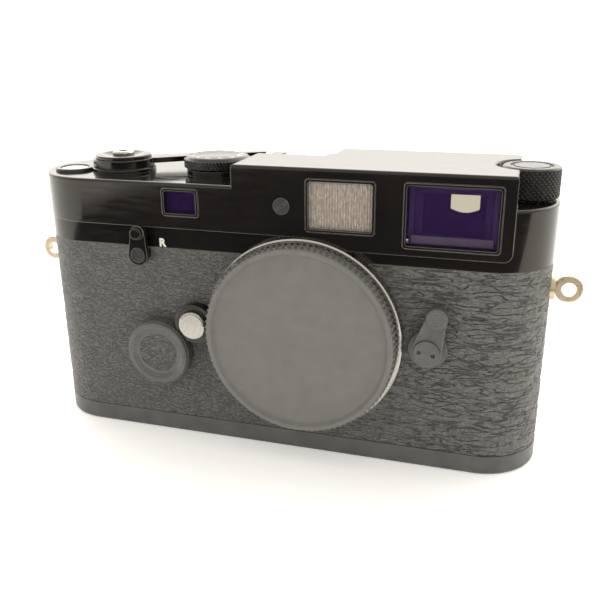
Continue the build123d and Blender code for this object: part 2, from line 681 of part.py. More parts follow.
def make_body_cap():
    middle = (MOUNT_X, MOUNT_Z)
    cap = stub(middle, CAP_FACE, CAP_BACK, CAP_RADIUS - CAP_EDGE)
    cap = fillet(cap.edges().filter_by(GeomType.CIRCLE).sort_by(Axis.Y)[0], CAP_EDGE)
    teeth_front, teeth_back = CAP_FACE + 0.75, CAP_BACK - 0.5
    root = CAP_RADIUS - CAP_EDGE - PLAY
    cap += toothed_stub(middle, teeth_front, teeth_back, CAP_TEETH, root, CAP_RADIUS)
    rim = CAP_RADIUS - CAP_RIM
    cone = Cone(rim - CAP_RIM_SLOPE, rim, CAP_RECESS)
    cap -= Pos(MOUNT_X, CAP_FACE + CAP_RECESS / 2, MOUNT_Z) * Rot(90, 0, 0) * cone
    cap += stub(middle, CAP_BACK, FLANGE_FACE + CAP_SKIRT, THROAT_RADIUS - 0.15)
    for lug in range(LUG_COUNT):
        lug_at = 90 + lug * 360 / LUG_COUNT
        y0 = FLANGE_FACE + LIP_DEPTH + 0.15
        cap += sector(middle, y0, y0 + LUG_THICKNESS, LUG_RADIUS, lug_at, LUG_ANGLE)
    cap -= stub(middle, CAP_FACE + CAP_RECESS + CAP_FLOOR, FAR, THROAT_RADIUS - 0.15 - CAP_SKIRT_WALL)
    return cap


# ---- accessory shoe ----
def shoe_screw_places():
    mid = (SHOE_FRONT + SHOE_BACK) / 2
    x, y = SHOE_SCREWS
    return [(SHOE_X + i * x, mid + j * y) for i in (-1, 1) for j in (-1, 1)]


def make_accessory_shoe():
    half = SHOE_WIDTH / 2
    top = SHOE_FLOOR + SHOE_RAIL_HEIGHT + SHOE_THICKNESS
    shoe = box(SHOE_X - half, SHOE_X + half, SHOE_FRONT, SHOE_BACK, DECK_LEFT, top)
    shoe = fillet(shoe.edges().filter_by(Axis.Y).sort_by(Axis.Z)[2:], 0.5)
    slot = SHOE_SLOT / 2
    shoe -= box(SHOE_X - slot, SHOE_X + slot, 0, FAR, SHOE_FLOOR, SHOE_FLOOR + SHOE_RAIL_HEIGHT)
    gap = SHOE_GAP / 2
    shoe -= box(SHOE_X - gap, SHOE_X + gap, 0, FAR, SHOE_FLOOR, FAR)
    for place in shoe_screw_places():
        shoe -= post(place, 0, FAR, SCREW_SHANK)
        shoe -= post(place, SHOE_FLOOR - 0.6, FAR, SCREW_HEAD)
    return shoe


# ---- film advance, release and counter ----
def make_advance_base():
    top = LEVER_LOW - LEVER_RIM - 0.1
    return soften(ring(HUB, DECK_LEFT, top, HUB_BASE_RADIUS, HUB_BORE), top, 0.2)


def make_advance_lever():
    """Ring round the hub with a curved arm that ends in a narrow thumb rest."""
    arm = None
    for first, second in zip(ARM_POINTS, ARM_POINTS[1:]):
        edges = []
        for x, y, r in (first, second):
            edges += (Pos(HUB[0] + x, HUB[1] + y) * Circle(r)).edges()
        link = extrude(make_hull(edges), LEVER_HIGH - LEVER_LOW)
        arm = link if arm is None else arm + link
    lever = Pos(0, 0, LEVER_LOW) * arm
    lever += post(HUB, LEVER_LOW - LEVER_RIM, LEVER_HIGH, HUB_RADIUS)
    lever -= post(HUB, LEVER_HIGH - HUB_CAP_SINK, FAR, HUB_CAP_RADIUS + PLAY)
    lever += post(HUB, SPOOL_SHAFT_TOP + 3.0, LEVER_LOW, HUB_BORE - 0.1)
    lever -= post(HUB, 0, FAR, BUTTON_STEM + 0.6)
    return lever - post(HUB, BUTTON_TOP - BUTTON_HEAD - BUTTON_TRAVEL - GAP, FAR, BUTTON_RADIUS + 0.1)


def make_advance_cap():
    """Dished cap on the hub, with the well that the release button sits in."""
    cap = post(HUB, LEVER_HIGH - HUB_CAP_SINK, HUB_TOP, HUB_CAP_RADIUS)
    cap = soften(cap, HUB_TOP, 0.3)
    dish = Pos(HUB[0], HUB[1], HUB_TOP - DISH_DEPTH + DISH_RADIUS) * Sphere(DISH_RADIUS)
    return cap - dish - post(HUB, 0, FAR, BUTTON_RADIUS + 0.1)


def make_shutter_button():
    head_low = BUTTON_TOP - BUTTON_HEAD
    button = soften(post(HUB, head_low, BUTTON_TOP, BUTTON_RADIUS), BUTTON_TOP, 0.5)
    button += post(HUB, SPOOL_SHAFT_TOP + BUTTON_TRAVEL + GAP, head_low, BUTTON_STEM)
    return button - post(HUB, BUTTON_TOP - CABLE_THREAD_DEPTH, FAR, CABLE_THREAD_RADIUS)


def make_speed_dial():
    low = DECK_LEFT + DIAL_BASE + 0.2
    dial = toothed(DIAL_TEETH, DIAL_RADIUS - 0.3, DIAL_RADIUS, DIAL_TOP - low - 0.7)
    dial = Pos(DIAL[0], DIAL[1], low + 0.2) * dial
    dial += soften(post(DIAL, low, DIAL_TOP, DIAL_RADIUS - 0.35), DIAL_TOP, 0.25)
    return dial + post(DIAL, SKIN_TOP + 8, low + 0.5, DIAL_BORE - 0.1)


def make_speed_dial_base():
    return ring(DIAL, DECK_LEFT, DECK_LEFT + DIAL_BASE, DIAL_BASE_RADIUS, DIAL_BORE)


def make_counter_ring():
    top = DECK_LEFT + COUNTER_RING_HEIGHT
    return soften(ring(COUNTER, DECK_LEFT, top, COUNTER_RING, COUNTER_GLASS), top, 0.25)


def make_counter_glass():
    """Domed magnifying glass."""
    top = DECK_LEFT + COUNTER_RING_HEIGHT + 0.15
    dome = Pos(COUNTER[0], COUNTER[1], top - COUNTER_DOME) * Sphere(COUNTER_DOME)
    return post(COUNTER, DECK_LEFT - COVER_WALL, DECK_LEFT + 2, COUNTER_GLASS) & dome


def make_counter_disc():
    low = DECK_LEFT - COVER_WALL - 1.4
    disc = post(COUNTER, low, low + COUNTER_DISC, COUNTER_GLASS + 0.8)
    return disc + post(COUNTER, low - COUNTER_SPINDLE, low, SHAFT_RADIUS / 2)


# ---- film transport ----
def make_takeup_spool():
    """Slotted take-up spool, with a flange at each end."""
    low, high = PLATE_LOW + 1.0, PLATE_HIGH
    spool = post(HUB, low, high, SPOOL_RADIUS)
    for z in (low, high - SPOOL_FLANGE_HEIGHT):
        spool += post(HUB, z, z + SPOOL_FLANGE_HEIGHT, SPOOL_RADIUS + SPOOL_FLANGE)
    half = SPOOL_SLOT / 2
    spool -= box(HUB[0] - half, HUB[0] + half, HUB[1], HUB[1] + FAR, low + 6, high - 6)
    return spool + post(HUB, high, SPOOL_SHAFT_TOP, SPOOL_SHAFT)


def make_sprocket_drum():
    low, high = PLATE_LOW + PLATE + 0.3, PLATE_HIGH - PLATE - 0.3
    drum = post(SPROCKET, low, high, SPROCKET_WAIST)
    drum += post(SPROCKET, PLATE_LOW - 0.6, PLATE_HIGH + 2, SHAFT_RADIUS)
    for side in (-1, 1):
        z = (low + high) / 2 + side * SPROCKET_BANDS
        drum += post(SPROCKET, z - SPROCKET_BAND, z + SPROCKET_BAND, SPROCKET_RADIUS)
        teeth = toothed(SPROCKET_TEETH, SPROCKET_RADIUS - 0.2, SPROCKET_RADIUS + 0.8, 1.0,
                        root_share=0.2, tip_share=0.1)
        drum += Pos(SPROCKET[0], SPROCKET[1], z - 0.5) * teeth
    return drum


# ---- rewind ----
def rewind_gear(phase):
    radius = GEAR_MODULE * REWIND_TEETH / 2
    return toothed(REWIND_TEETH, radius - 1.2 * GEAR_MODULE, radius + 0.85 * GEAR_MODULE,
                   GEAR_HIGH - GEAR_LOW, phase, root_share=0.56, tip_share=0.2)


def make_rewind_knob():
    low, high = DECK_RIGHT + 0.3, BODY_HEIGHT - 0.05
    knob = post(KNOB, low, high, KNOB_RADIUS)
    knob = soften(knob, high, 0.5)
    knob -= ring(KNOB, high - KNOB_GROOVE_DEPTH, high + 1, *KNOB_GROOVE)
    return knob + post(KNOB, GEAR_HIGH, low, KNOB_SHAFT)


def make_rewind_pinion():
    gear = Pos(KNOB[0], KNOB[1], GEAR_LOW) * rewind_gear(180.0)
    return gear + post(KNOB, GEAR_LOW - 1.4, GEAR_LOW, PINION_PIN)


def make_rewind_fork():
    """Driven gear, its shaft and the two prongs that turn the cassette's spool."""
    half_tooth = 180.0 / REWIND_TEETH
    gear = Pos(CASSETTE[0], CASSETTE[1], GEAR_LOW) * rewind_gear(half_tooth)
    top = SKIN_TOP - 5
    shaft = post(CASSETTE, top - 1, GEAR_LOW, FORK_SHAFT)
    prongs = post(CASSETTE, top - FORK_LENGTH, top, FORK_RADIUS)
    half = FORK_SLOT / 2
    prongs -= box(CASSETTE[0] - half, CASSETTE[0] + half, -FAR, FAR, 0, top - 3)
    return gear + shaft + prongs + post(CASSETTE, GEAR_HIGH, BRIDGE_TOP, PINION_PIN)


def make_rewind_bridge():
    """Two plates that carry both rewind shafts and lift with the knob."""
    left, right = CASSETTE[0] - BRIDGE_HALF, KNOB[0] + BRIDGE_HALF - 0.6
    low = GEAR_LOW - 0.2 - BRIDGE_PLATE
    bridge = box(left, right, -BRIDGE_DEPTH, BRIDGE_DEPTH, low, BRIDGE_TOP)
    inner = BRIDGE_DEPTH - BRIDGE_PLATE
    bridge -= box(-FAR, FAR, -inner, inner, low + BRIDGE_PLATE, BRIDGE_TOP - BRIDGE_PLATE)
    bridge -= post(CASSETTE, 0, GEAR_LOW, FORK_SHAFT + PLAY)
    bridge -= post(CASSETTE, GEAR_HIGH, FAR, PINION_PIN + PLAY)
    bridge -= post(KNOB, 0, GEAR_LOW, PINION_PIN + PLAY)
    bridge -= post(KNOB, GEAR_HIGH, FAR, KNOB_SHAFT + PLAY)
    return bridge


# ---- front controls ----
def make_rewind_release_lever():
    """Small upright lever with a round finger knob at its top."""
    y1 = PANEL_FRONT - 0.15
    y0 = y1 - REVERSER_PLATE
    edges = []
    for place, r in ((REVERSER, REVERSER_FOOT), (REVERSER_KNOB, REVERSER_TIP)):
        edges += (Pos(*place) * Circle(r)).edges()
    plate = extrude(Plane.XZ * make_hull(edges), amount=y1 - y0)
    plate = Pos(0, y1, 0) * plate
    knob = stub(REVERSER_KNOB, y0 - 1.3, y0 + 0.2, REVERSER_TIP - 0.2)
    knob = fillet(knob.edges().filter_by(GeomType.CIRCLE).sort_by(Axis.Y)[0], 0.6)
    boss = stub(REVERSER, y1 - 0.1, -SHELL_D, REVERSER_BOSS - PLAY)
    lever = plate + knob + boss
    lever -= stub(REVERSER, -FAR, y0 + 0.5, REVERSER_SEAT)
    return lever - stub(REVERSER, -FAR, 0, REVERSER_STEM + PLAY)


def make_rewind_lever_screw():
    y0 = PANEL_FRONT - 0.15 - REVERSER_PLATE
    head = slotted_head(REVERSER, y0 - 0.15, y0 + 0.45, REVERSER_SEAT - 0.1, 0.5, 0.4, 62)
    return head + stub(REVERSER, y0 + 0.4, -INNER_D, REVERSER_STEM)


def make_lens_release_button():
    """Button, its stem through the shell, and the arm that draws the locking pin back."""
    x, z = RELEASE
    face = BATTERY_FACE - 0.1
    button = stub(RELEASE, face, -SHELL_D - RELEASE_TRAVEL - 0.3, RELEASE_RADIUS)
    button = fillet(button.edges().filter_by(GeomType.CIRCLE).sort_by(Axis.Y)[0], 0.6)
    arm = -INNER_D + 0.1
    button += stub(RELEASE, -SHELL_D - RELEASE_TRAVEL - 0.4, arm + RELEASE_ARM, RELEASE_STEM)
    pin = release_pin_place()
    button += stub(pin, FLANGE_FACE + 0.05, arm + RELEASE_ARM, RELEASE_PIN)
    return button + box(x - 1.6, pin[0] + 1.0, arm, arm + RELEASE_ARM, z - 1.4, z + 1.0)


def make_release_guard():
    """Raised collar round the release button, cut away towards the mount."""
    guard = collar(RELEASE, BATTERY_FACE + GUARD_SINK, -SHELL_D, GUARD_RADIUS, RELEASE_RADIUS + 0.1)
    guard -= stub((MOUNT_X, MOUNT_Z), -FAR, 0, FLANGE_RADIUS + PLAY)
    guard -= stub(BATTERY, -FAR, 0, BATTERY_RADIUS + PLAY)
    return guard


def make_selector_base():
    base = stub(SELECTOR, -HALF_D - 1.3, -SHELL_D, SELECTOR_RADIUS)
    base = fillet(base.edges().filter_by(GeomType.CIRCLE).sort_by(Axis.Y)[0], 0.3)
    return base - stub(SELECTOR, -FAR, 0, SELECTOR_STEM + PLAY)


def make_selector_lever():
    """Lever plate from the pivot disc up to a round finger tip."""
    y0, y1 = -HALF_D - 3.2, -HALF_D - 1.4
    edges = []
    for place, r in ((SELECTOR, SELECTOR_DISC), (SELECTOR_TIP, SELECTOR_KNOB - 0.4)):
        edges += (Pos(*place) * Circle(r)).edges()
    lever = Pos(0, y1, 0) * extrude(Plane.XZ * make_hull(edges), amount=y1 - y0)
    tip = stub(SELECTOR_TIP, y0 - 1.0, y1, SELECTOR_KNOB)
    tip = fillet(tip.edges().filter_by(GeomType.CIRCLE).sort_by(Axis.Y)[0], 0.5)
    stem = stub(SELECTOR, y1 - 0.1, -INNER_D + 0.4, SELECTOR_STEM)
    lever = lever + tip + stem
    return lever - stub(SELECTOR, -FAR, y0 + 0.8, SPANNER_DISC + PLAY)


def make_selector_screw():
    """Retaining disc with two spanner holes; it turns with the lever."""
    y0 = -HALF_D - 3.9
    disc = stub(SELECTOR, y0, -HALF_D - 3.2 + 0.8, SPANNER_DISC)
    disc = fillet(disc.edges().filter_by(GeomType.CIRCLE).sort_by(Axis.Y)[0], 0.3)
    for side in (-1, 1):
        place = (SELECTOR[0] + side * SPANNER_HOLES, SELECTOR[1] - side * 0.3)
        disc -= stub(place, -FAR, y0 + 0.7, SPANNER_HOLE)
    return disc


# ---- battery ----
def make_battery_chamber():
    depth = 2 * CELL_HEIGHT + 1.2
    outer = CHAMBER_BORE + CHAMBER_WALL
    tube = stub(BATTERY, -SHELL_D, -SHELL_D + depth + CHAMBER_WALL, outer)
    return tube - stub(BATTERY, -FAR, -SHELL_D + depth, CHAMBER_BORE)


def make_battery_cover():
    back = -HALF_D - 0.05
    cover = stub(BATTERY, BATTERY_FACE, back, BATTERY_RADIUS - 0.4)
    cover = fillet(cover.edges().filter_by(GeomType.CIRCLE).sort_by(Axis.Y)[0], 0.5)
    cover += toothed_stub(BATTERY, BATTERY_FACE + 0.9, back - 0.3, BATTERY_TEETH,
                          BATTERY_RADIUS - 0.45, BATTERY_RADIUS - 0.1)
    cone = Cone(BATTERY_INLAY + 0.6, BATTERY_RADIUS - 1.7, 0.7)
    cover -= Pos(BATTERY[0], BATTERY_FACE + 0.35, BATTERY[1]) * Rot(90, 0, 0) * cone
    cover -= stub(BATTERY, -FAR, BATTERY_FACE + 1.2, BATTERY_INLAY)
    return cover + stub(BATTERY, back, -SHELL_D + 0.6, CHAMBER_BORE - PLAY)


def make_battery_inlay():
    return stub(BATTERY, BATTERY_FACE + 0.65, BATTERY_FACE + 1.2, BATTERY_INLAY)


def make_battery_cells():
    first = -SHELL_D + 0.6 + PLAY
    cells = []
    for cell in range(2):
        y0 = first + cell * (CELL_HEIGHT + 0.02)
        cells.append(stub(BATTERY, y0, y0 + CELL_HEIGHT, CELL_RADIUS))
    return cells


# ---- strap lugs and front screw ----
def make_strap_lug(side):
    """Round eye on a flared foot, with a stem through the shell's end."""
    eye = stub((side * LUG_X, LUG_Z), -LUG_HALF, LUG_HALF, LUG_RING)
    eye = fillet(eye.edges().filter_by(GeomType.CIRCLE), 0.5)
    start, end = sorted((side * (SHELL_L - LUG_SINK), side * (HALF_L + 0.9)))
    foot = rod((0, LUG_Z), start, end, LUG_FOOT)
    inner, outer = sorted((side * (SHELL_L - SHELL_WALL - 0.6), side * HALF_L))
    stem = rod((0, LUG_Z), inner, outer, LUG_STEM)
    return eye + foot + stem - stub((side * LUG_X, LUG_Z), -FAR, FAR, LUG_HOLE)


def make_cover_screw():
    """Slotted adjusting screw in the front panel."""
    head = slotted_head(FRONT_SCREW, PANEL_FRONT - 0.35, PANEL_FRONT, FRONT_SCREW_HEAD, 0.5, 0.3, -35)
    return head + stub(FRONT_SCREW, PANEL_FRONT - 0.05, PANEL_FRONT + 3, SCREW_SHANK)


# ---- shutter ----
def curtain_plane(index):
    """Front face of each curtain, the first one nearer the film."""
    return FILM_PLANE - 2.9 - index * CURTAIN_SPACING


def lath_x(index):
    """Each lath starts at its own side of the aperture and travels towards the drum."""
    return MOUNT_X + GATE_WIDTH / 2 + 1.6 + index * 2.2


def make_curtain_lath(index):
    y = curtain_plane(index)
    x = lath_x(index)
    half = CURTAIN_HEIGHT / 2
    return box(x, x + LATH, y - 0.08, y + CURTAIN, MOUNT_Z - half, MOUNT_Z + half)


def make_curtain(index):
    y = curtain_plane(index)
    low, high = MOUNT_Z - CURTAIN_HEIGHT / 2, MOUNT_Z + CURTAIN_HEIGHT / 2
    if index == 0:
        return box(DRUM[0] + DRUM_RADIUS + 4, lath_x(0), y, y + CURTAIN, low, high)
    return box(lath_x(1) + LATH, lath_x(1) + LATH + 3.0, y, y + CURTAIN, low, high)


def make_winding_drum():
    drum = post(DRUM, PLATE_LOW + PLATE + 0.4, PLATE_HIGH - PLATE - 0.4, DRUM_RADIUS)
    return drum + post(DRUM, PLATE_LOW - 0.6, PLATE_HIGH + 2, SHAFT_RADIUS)


# ---- back door ----
def make_rear_door():
    door = box(DOOR_LEFT, DOOR_RIGHT, SHELL_D - DOOR_THICKNESS, SHELL_D, DOOR_LOW, DOOR_HIGH)
    door -= rod(DOOR_HINGE, DOOR_LEFT - 1, DOOR_RIGHT + 1, HINGE_PIN + PLAY)
    for place in plate_stud_places():
        door -= stub(place, 0, SHELL_D - 0.5, PLATE_STUD + PLAY)
    return door - stub(FILM_DIAL, 0, FAR, FILM_DIAL_STEM + PLAY)


def make_door_leather():
    skin = box(DOOR_LEFT, DOOR_RIGHT, SHELL_D, HALF_D, DOOR_LOW, DOOR_HIGH)
    return skin - stub(FILM_DIAL, 0, FAR, FILM_DIAL_RADIUS)


def make_door_hinge_pin():
    return rod(DOOR_HINGE, DOOR_LEFT - HINGE_END, DOOR_RIGHT + HINGE_END, HINGE_PIN)


def plate_stud_places():
    x, z = PLATE_STUDS
    return [(MOUNT_X + i * x, MOUNT_Z + j * z) for i in (-1, 1) for j in (-1, 1)]


def make_pressure_plate():
    """Sprung plate that keeps the film flat; its studs slide in the door."""
    half_w, half_h = GATE_WIDTH / 2 + PLATE_MARGINS[0], GATE_HEIGHT / 2 + PLATE_MARGINS[1]
    front = FILM_PLANE + FILM_CHANNEL
    low, high = MOUNT_Z - half_h, MOUNT_Z + half_h
    plate = box(MOUNT_X - half_w, MOUNT_X + half_w, front, front + PLATE, low, high)
    for place in plate_stud_places():
        plate += stub(place, front + 1.0, SHELL_D - 0.6 - PLATE_TRAVEL, PLATE_STUD)
    return plate


def make_film_speed_dial():
    dial = stub(FILM_DIAL, SHELL_D + PLAY, HALF_D + FILM_DIAL_PROUD, FILM_DIAL_RADIUS - GAP)
    dial = fillet(dial.edges().filter_by(GeomType.CIRCLE).sort_by(Axis.Y)[-1], 0.3)
    width, height = FILM_DIAL_SLOT
    slot = Box(width, FILM_DIAL_PROUD, height)
    dial -= Pos(FILM_DIAL[0], HALF_D + FILM_DIAL_PROUD, FILM_DIAL[1]) * slot
    return dial + stub(FILM_DIAL, SHELL_D - DOOR_THICKNESS, SHELL_D + 0.1, FILM_DIAL_STEM)


# ---- base plate ----
def make_base_plate():
    """Shallow tray with a boss for the tripod bush, a bearing for the key and the hook block."""
    tray = body_prism(0, 0, BASE_HEIGHT)
    tray = fillet(tray.edges().filter_by_position(Axis.Z, -1e-4, 1e-4), BASE_EDGE)
    tray -= body_prism(BASE_WALL, BASE_WALL, FAR)
    bush = TRIPOD_BORE + TRIPOD_BUSH_WALL
    tray += post(TRIPOD, BASE_WALL / 2, BASE_HEIGHT - 0.6, bush + TRIPOD_BOSS_WALL)
    tray -= post(TRIPOD, -1, FAR, bush)
    tray += post(KEY, BASE_WALL / 2, KEY_DISC + 1.5, KEY_RADIUS + 1.4)
    tray -= post(KEY, -1, KEY_DISC + 0.1, KEY_RADIUS + PLAY)
    tray -= post(KEY, -1, FAR, SHAFT_RADIUS + PLAY)
    return tray + hook_block()


def hook_block():
    """Hook that catches the pin, slotted for the arc the pin follows as the plate tips on its rim."""
    x, z = HOOK_PIN
    block = box(x - 1.7, x + 3.6, -3.0, 3.0, BASE_WALL - 0.2, z + 2.2)
    block &= stub((-HALF_L, BASE_HEIGHT), -FAR, FAR, HOOK_ARC)
    for step in range(HOOK_STEPS + 1):
        angle = math.radians(BASE_SWING * step / HOOK_STEPS)
        cos, sin = math.cos(angle), math.sin(angle)
        place = (HOOK_FROM_END * cos - HOOK_PIN_RISE * sin - HALF_L,
                 HOOK_FROM_END * sin + HOOK_PIN_RISE * cos + BASE_HEIGHT)
        block -= stub(place, -FAR, FAR, HOOK_PIN_RADIUS + 0.12)
    return block


def make_tripod_bush():
    bush = post(TRIPOD, 0, TRIPOD_DEPTH, TRIPOD_BORE + TRIPOD_BUSH_WALL)
    return bush - post(TRIPOD, -1, TRIPOD_DEPTH - 0.6, TRIPOD_BORE)


def make_base_key():
    """Turning disc with a finger bail recess, its shaft and the locking bar inside."""
    disc = post(KEY, 0.15, KEY_DISC, KEY_RADIUS - PLAY)
    disc -= ring(KEY, 0, BAIL_DEPTH, BAIL_OUTER + 0.15, BAIL_INNER - 0.15)
    disc -= box(KEY[0] - 2.2, KEY[0] + 2.2, KEY[1] + 1.2, KEY[1] + BAIL_OUTER + 0.15, 0, BAIL_DEPTH)
    shaft = post(KEY, KEY_DISC - 0.1, BASE_HEIGHT, SHAFT_RADIUS)
    half_x, half_y = KEY_BAR
    bar = box(KEY[0] - half_x, KEY[0] + half_x, KEY[1] - half_y, KEY[1] + half_y,
              BASE_HEIGHT - 1.1, BASE_HEIGHT + 0.1)
    return disc + shaft + bar


def make_key_bail():
    """Half-round folding finger ring that lies in the key's recess, hinged along X."""
    half = ring(KEY, 0.35, 1.2, BAIL_OUTER, BAIL_INNER)
    half &= box(KEY[0] - FAR, KEY[0] + FAR, KEY[1], KEY[1] + FAR, 0, FAR)
    for side in (-1, 1):
        inner, outer = sorted((side * BAIL_INNER, side * BAIL_OUTER))
        half += rod((KEY[1], BAIL_AXIS_Z), KEY[0] + inner, KEY[0] + outer, BAIL_PIN)
    return half


def make_hook_pin():
    return stub(HOOK_PIN, -HOOK_REACH, HOOK_REACH, HOOK_PIN_RADIUS) & body_prism(SKIN, 0, FAR)


# ---- every piece by name ----
def make_parts():
    return {
        "body_shell": make_body_shell(),
        "chassis": make_chassis(),
        "film_gate": make_film_gate(),
        "leather_wrap": make_leather_wrap(),
        "top_cover": make_top_cover(),
        "mount_ring": make_mount_ring(),
        "small_screws": make_small_screws(),
        "window_bezels": make_window_bezels(),
        "finder_windows": make_finder_windows(),
        "frameline_window": make_frameline_window(),
        "viewfinder_block": make_viewfinder_block(),
        "eyepiece_ring": make_eyepiece_ring(),
        "cover_screw": make_cover_screw(),
        "accessory_shoe": make_accessory_shoe(),
        "strap_lug_left": make_strap_lug(-1),
        "strap_lug_right": make_strap_lug(1),
        "counter_ring": make_counter_ring(),
        "counter_glass": make_counter_glass(),
        "counter_disc": make_counter_disc(),
        "advance_base": make_advance_base(),
        "advance_lever": make_advance_lever(),
        "advance_cap": make_advance_cap(),
        "shutter_button": make_shutter_button(),
        "speed_dial": make_speed_dial(),
        "speed_dial_base": make_speed_dial_base(),
        "takeup_spool": make_takeup_spool(),
        "sprocket_drum": make_sprocket_drum(),
        "rewind_knob": make_rewind_knob(),
        "rewind_pinion": make_rewind_pinion(),
        "rewind_fork": make_rewind_fork(),
        "rewind_bridge": make_rewind_bridge(),
        "rewind_release_lever": make_rewind_release_lever(),
        "rewind_lever_screw": make_rewind_lever_screw(),
        "lens_release_button": make_lens_release_button(),
        "release_guard": make_release_guard(),
        "selector_base": make_selector_base(),
        "selector_lever": make_selector_lever(),
        "selector_screw": make_selector_screw(),
        "battery_chamber": make_battery_chamber(),
        "battery_cover": make_battery_cover(),
        "battery_inlay": make_battery_inlay(),
        "battery_cells": make_battery_cells(),
        "body_cap": make_body_cap(),
        "roller_arm": make_roller_arm(),
        "rangefinder_mirror": make_rangefinder_mirror(),
        "first_curtain": make_curtain(0),
        "first_curtain_lath": make_curtain_lath(0),
        "second_curtain": make_curtain(1),
        "second_curtain_lath": make_curtain_lath(1),
        "winding_drum": make_winding_drum(),
        "rear_door": make_rear_door(),
        "door_leather": make_door_leather(),
        "door_hinge_pin": make_door_hinge_pin(),
        "pressure_plate": make_pressure_plate(),
        "film_speed_dial": make_film_speed_dial(),
        "base_plate": make_base_plate(),
        "tripod_bush": make_tripod_bush(),
        "base_key": make_base_key(),
        "key_bail": make_key_bail(),
        "hook_pin": make_hook_pin(),
    }


def main():
    os.makedirs("parts", exist_ok=True)
    for name, piece in make_parts().items():
        solids = piece if isinstance(piece, list) else [piece]
        whole = solids[0] if len(solids) == 1 else Compound(children=solids)
        export_step(whole, os.path.join("parts", name + ".step"))


main()
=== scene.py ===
import json
import math

import bmesh
import bpy
from mathutils import Matrix, Vector, noise


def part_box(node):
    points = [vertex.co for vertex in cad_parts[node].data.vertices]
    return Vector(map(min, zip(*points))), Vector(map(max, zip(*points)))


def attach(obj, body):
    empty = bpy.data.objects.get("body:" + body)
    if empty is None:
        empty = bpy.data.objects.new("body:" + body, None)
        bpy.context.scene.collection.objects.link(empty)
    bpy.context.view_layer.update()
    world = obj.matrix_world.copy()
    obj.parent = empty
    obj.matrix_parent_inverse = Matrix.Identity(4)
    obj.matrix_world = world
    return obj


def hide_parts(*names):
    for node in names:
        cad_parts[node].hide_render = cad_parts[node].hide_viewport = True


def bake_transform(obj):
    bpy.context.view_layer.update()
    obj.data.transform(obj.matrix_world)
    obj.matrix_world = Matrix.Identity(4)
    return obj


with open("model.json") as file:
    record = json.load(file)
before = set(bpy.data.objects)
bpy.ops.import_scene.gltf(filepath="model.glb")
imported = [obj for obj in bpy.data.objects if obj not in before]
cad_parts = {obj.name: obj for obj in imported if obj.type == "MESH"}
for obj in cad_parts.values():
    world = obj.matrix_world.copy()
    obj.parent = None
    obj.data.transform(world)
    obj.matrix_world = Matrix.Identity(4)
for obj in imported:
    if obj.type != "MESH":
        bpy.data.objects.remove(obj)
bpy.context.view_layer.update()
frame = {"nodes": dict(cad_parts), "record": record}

MM = 0.001
NODES = frame["nodes"]

# ---- sizes and places, in millimetres: window openings are (left, right, low, high) --------------
FINDER_WINDOW = (34.0, 56.6, 58.9, 74.7)
FRAMELINE_WINDOW = (10.25, 27.45, 61.4, 74.5)
RANGEFINDER_WINDOW = (-27.9, -17.7, 63.1, 70.4)
PATCH_TOP, PATCH_LOW = 72.9, 68.3
PATCH_SIDES = (44.4, 51.0)
SELECTOR_TIP = (43.3, 42.6)
SELECTOR_RIDGES = (1.85, 1.2, 0.5)
REWIND_LETTER = (-29.4, 55.3)
LETTER_HALF_THICKNESS = 0.02
CORNER_STEPS = 6             # segments in each rounded corner of a window frame
DIAL_DROP = 3.6              # from the cover's highest point down to the speed dial's foot
KNOB_DROP = 7.7              # from the cover's highest point down to the rewind knob's foot
FLOOR_GAP = 0.05             # the floor lies this far under the base plate

# ---- leather, in millimetres ---------------------------------------------------------------------
COARSE_FROM, COARSE_OVER = 15, 45        # x at which the grain starts to turn coarse, and over what
LEATHER_STEP, LEATHER_QUICK_STEP = 0.34, 0.5
LEATHER_DEPTH = 0.26
HEM = 0.35                               # the first and last rows are tucked in by this much
DOOR_STEP, DOOR_QUICK_STEP = 0.36, 0.8
DOOR_DEPTH = 0.16
# radii of the leather left out beneath the fittings
UNDER_MOUNT = 25.3
UNDER_BATTERY = 8.2
UNDER_GUARD = 4.6
UNDER_FILM_DIAL = 8.6

# ---- camera, in millimetres and radians ----------------------------------------------------------
CAMERA_PLACE = (60.75, -187.54, 107.15)
YAW, PITCH, ROLL = 0.2963, -0.3431, 0.0082
FOCAL_SHARE = 749.53 / 600   # focal length as a share of the image's width
SENSOR_WIDTH = 36.0

# ---- places read from the frame ------------------------------------------------------------------
BODY_LOW, BODY_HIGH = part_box("leather_wrap")
COVER_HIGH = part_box("top_cover")[1]
HALF_LENGTH = BODY_HIGH.x
HALF_DEPTH = BODY_HIGH.y
END_RADIUS = 15.0 * MM


def centre(node):
    low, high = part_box(node)
    return (low + high) / 2


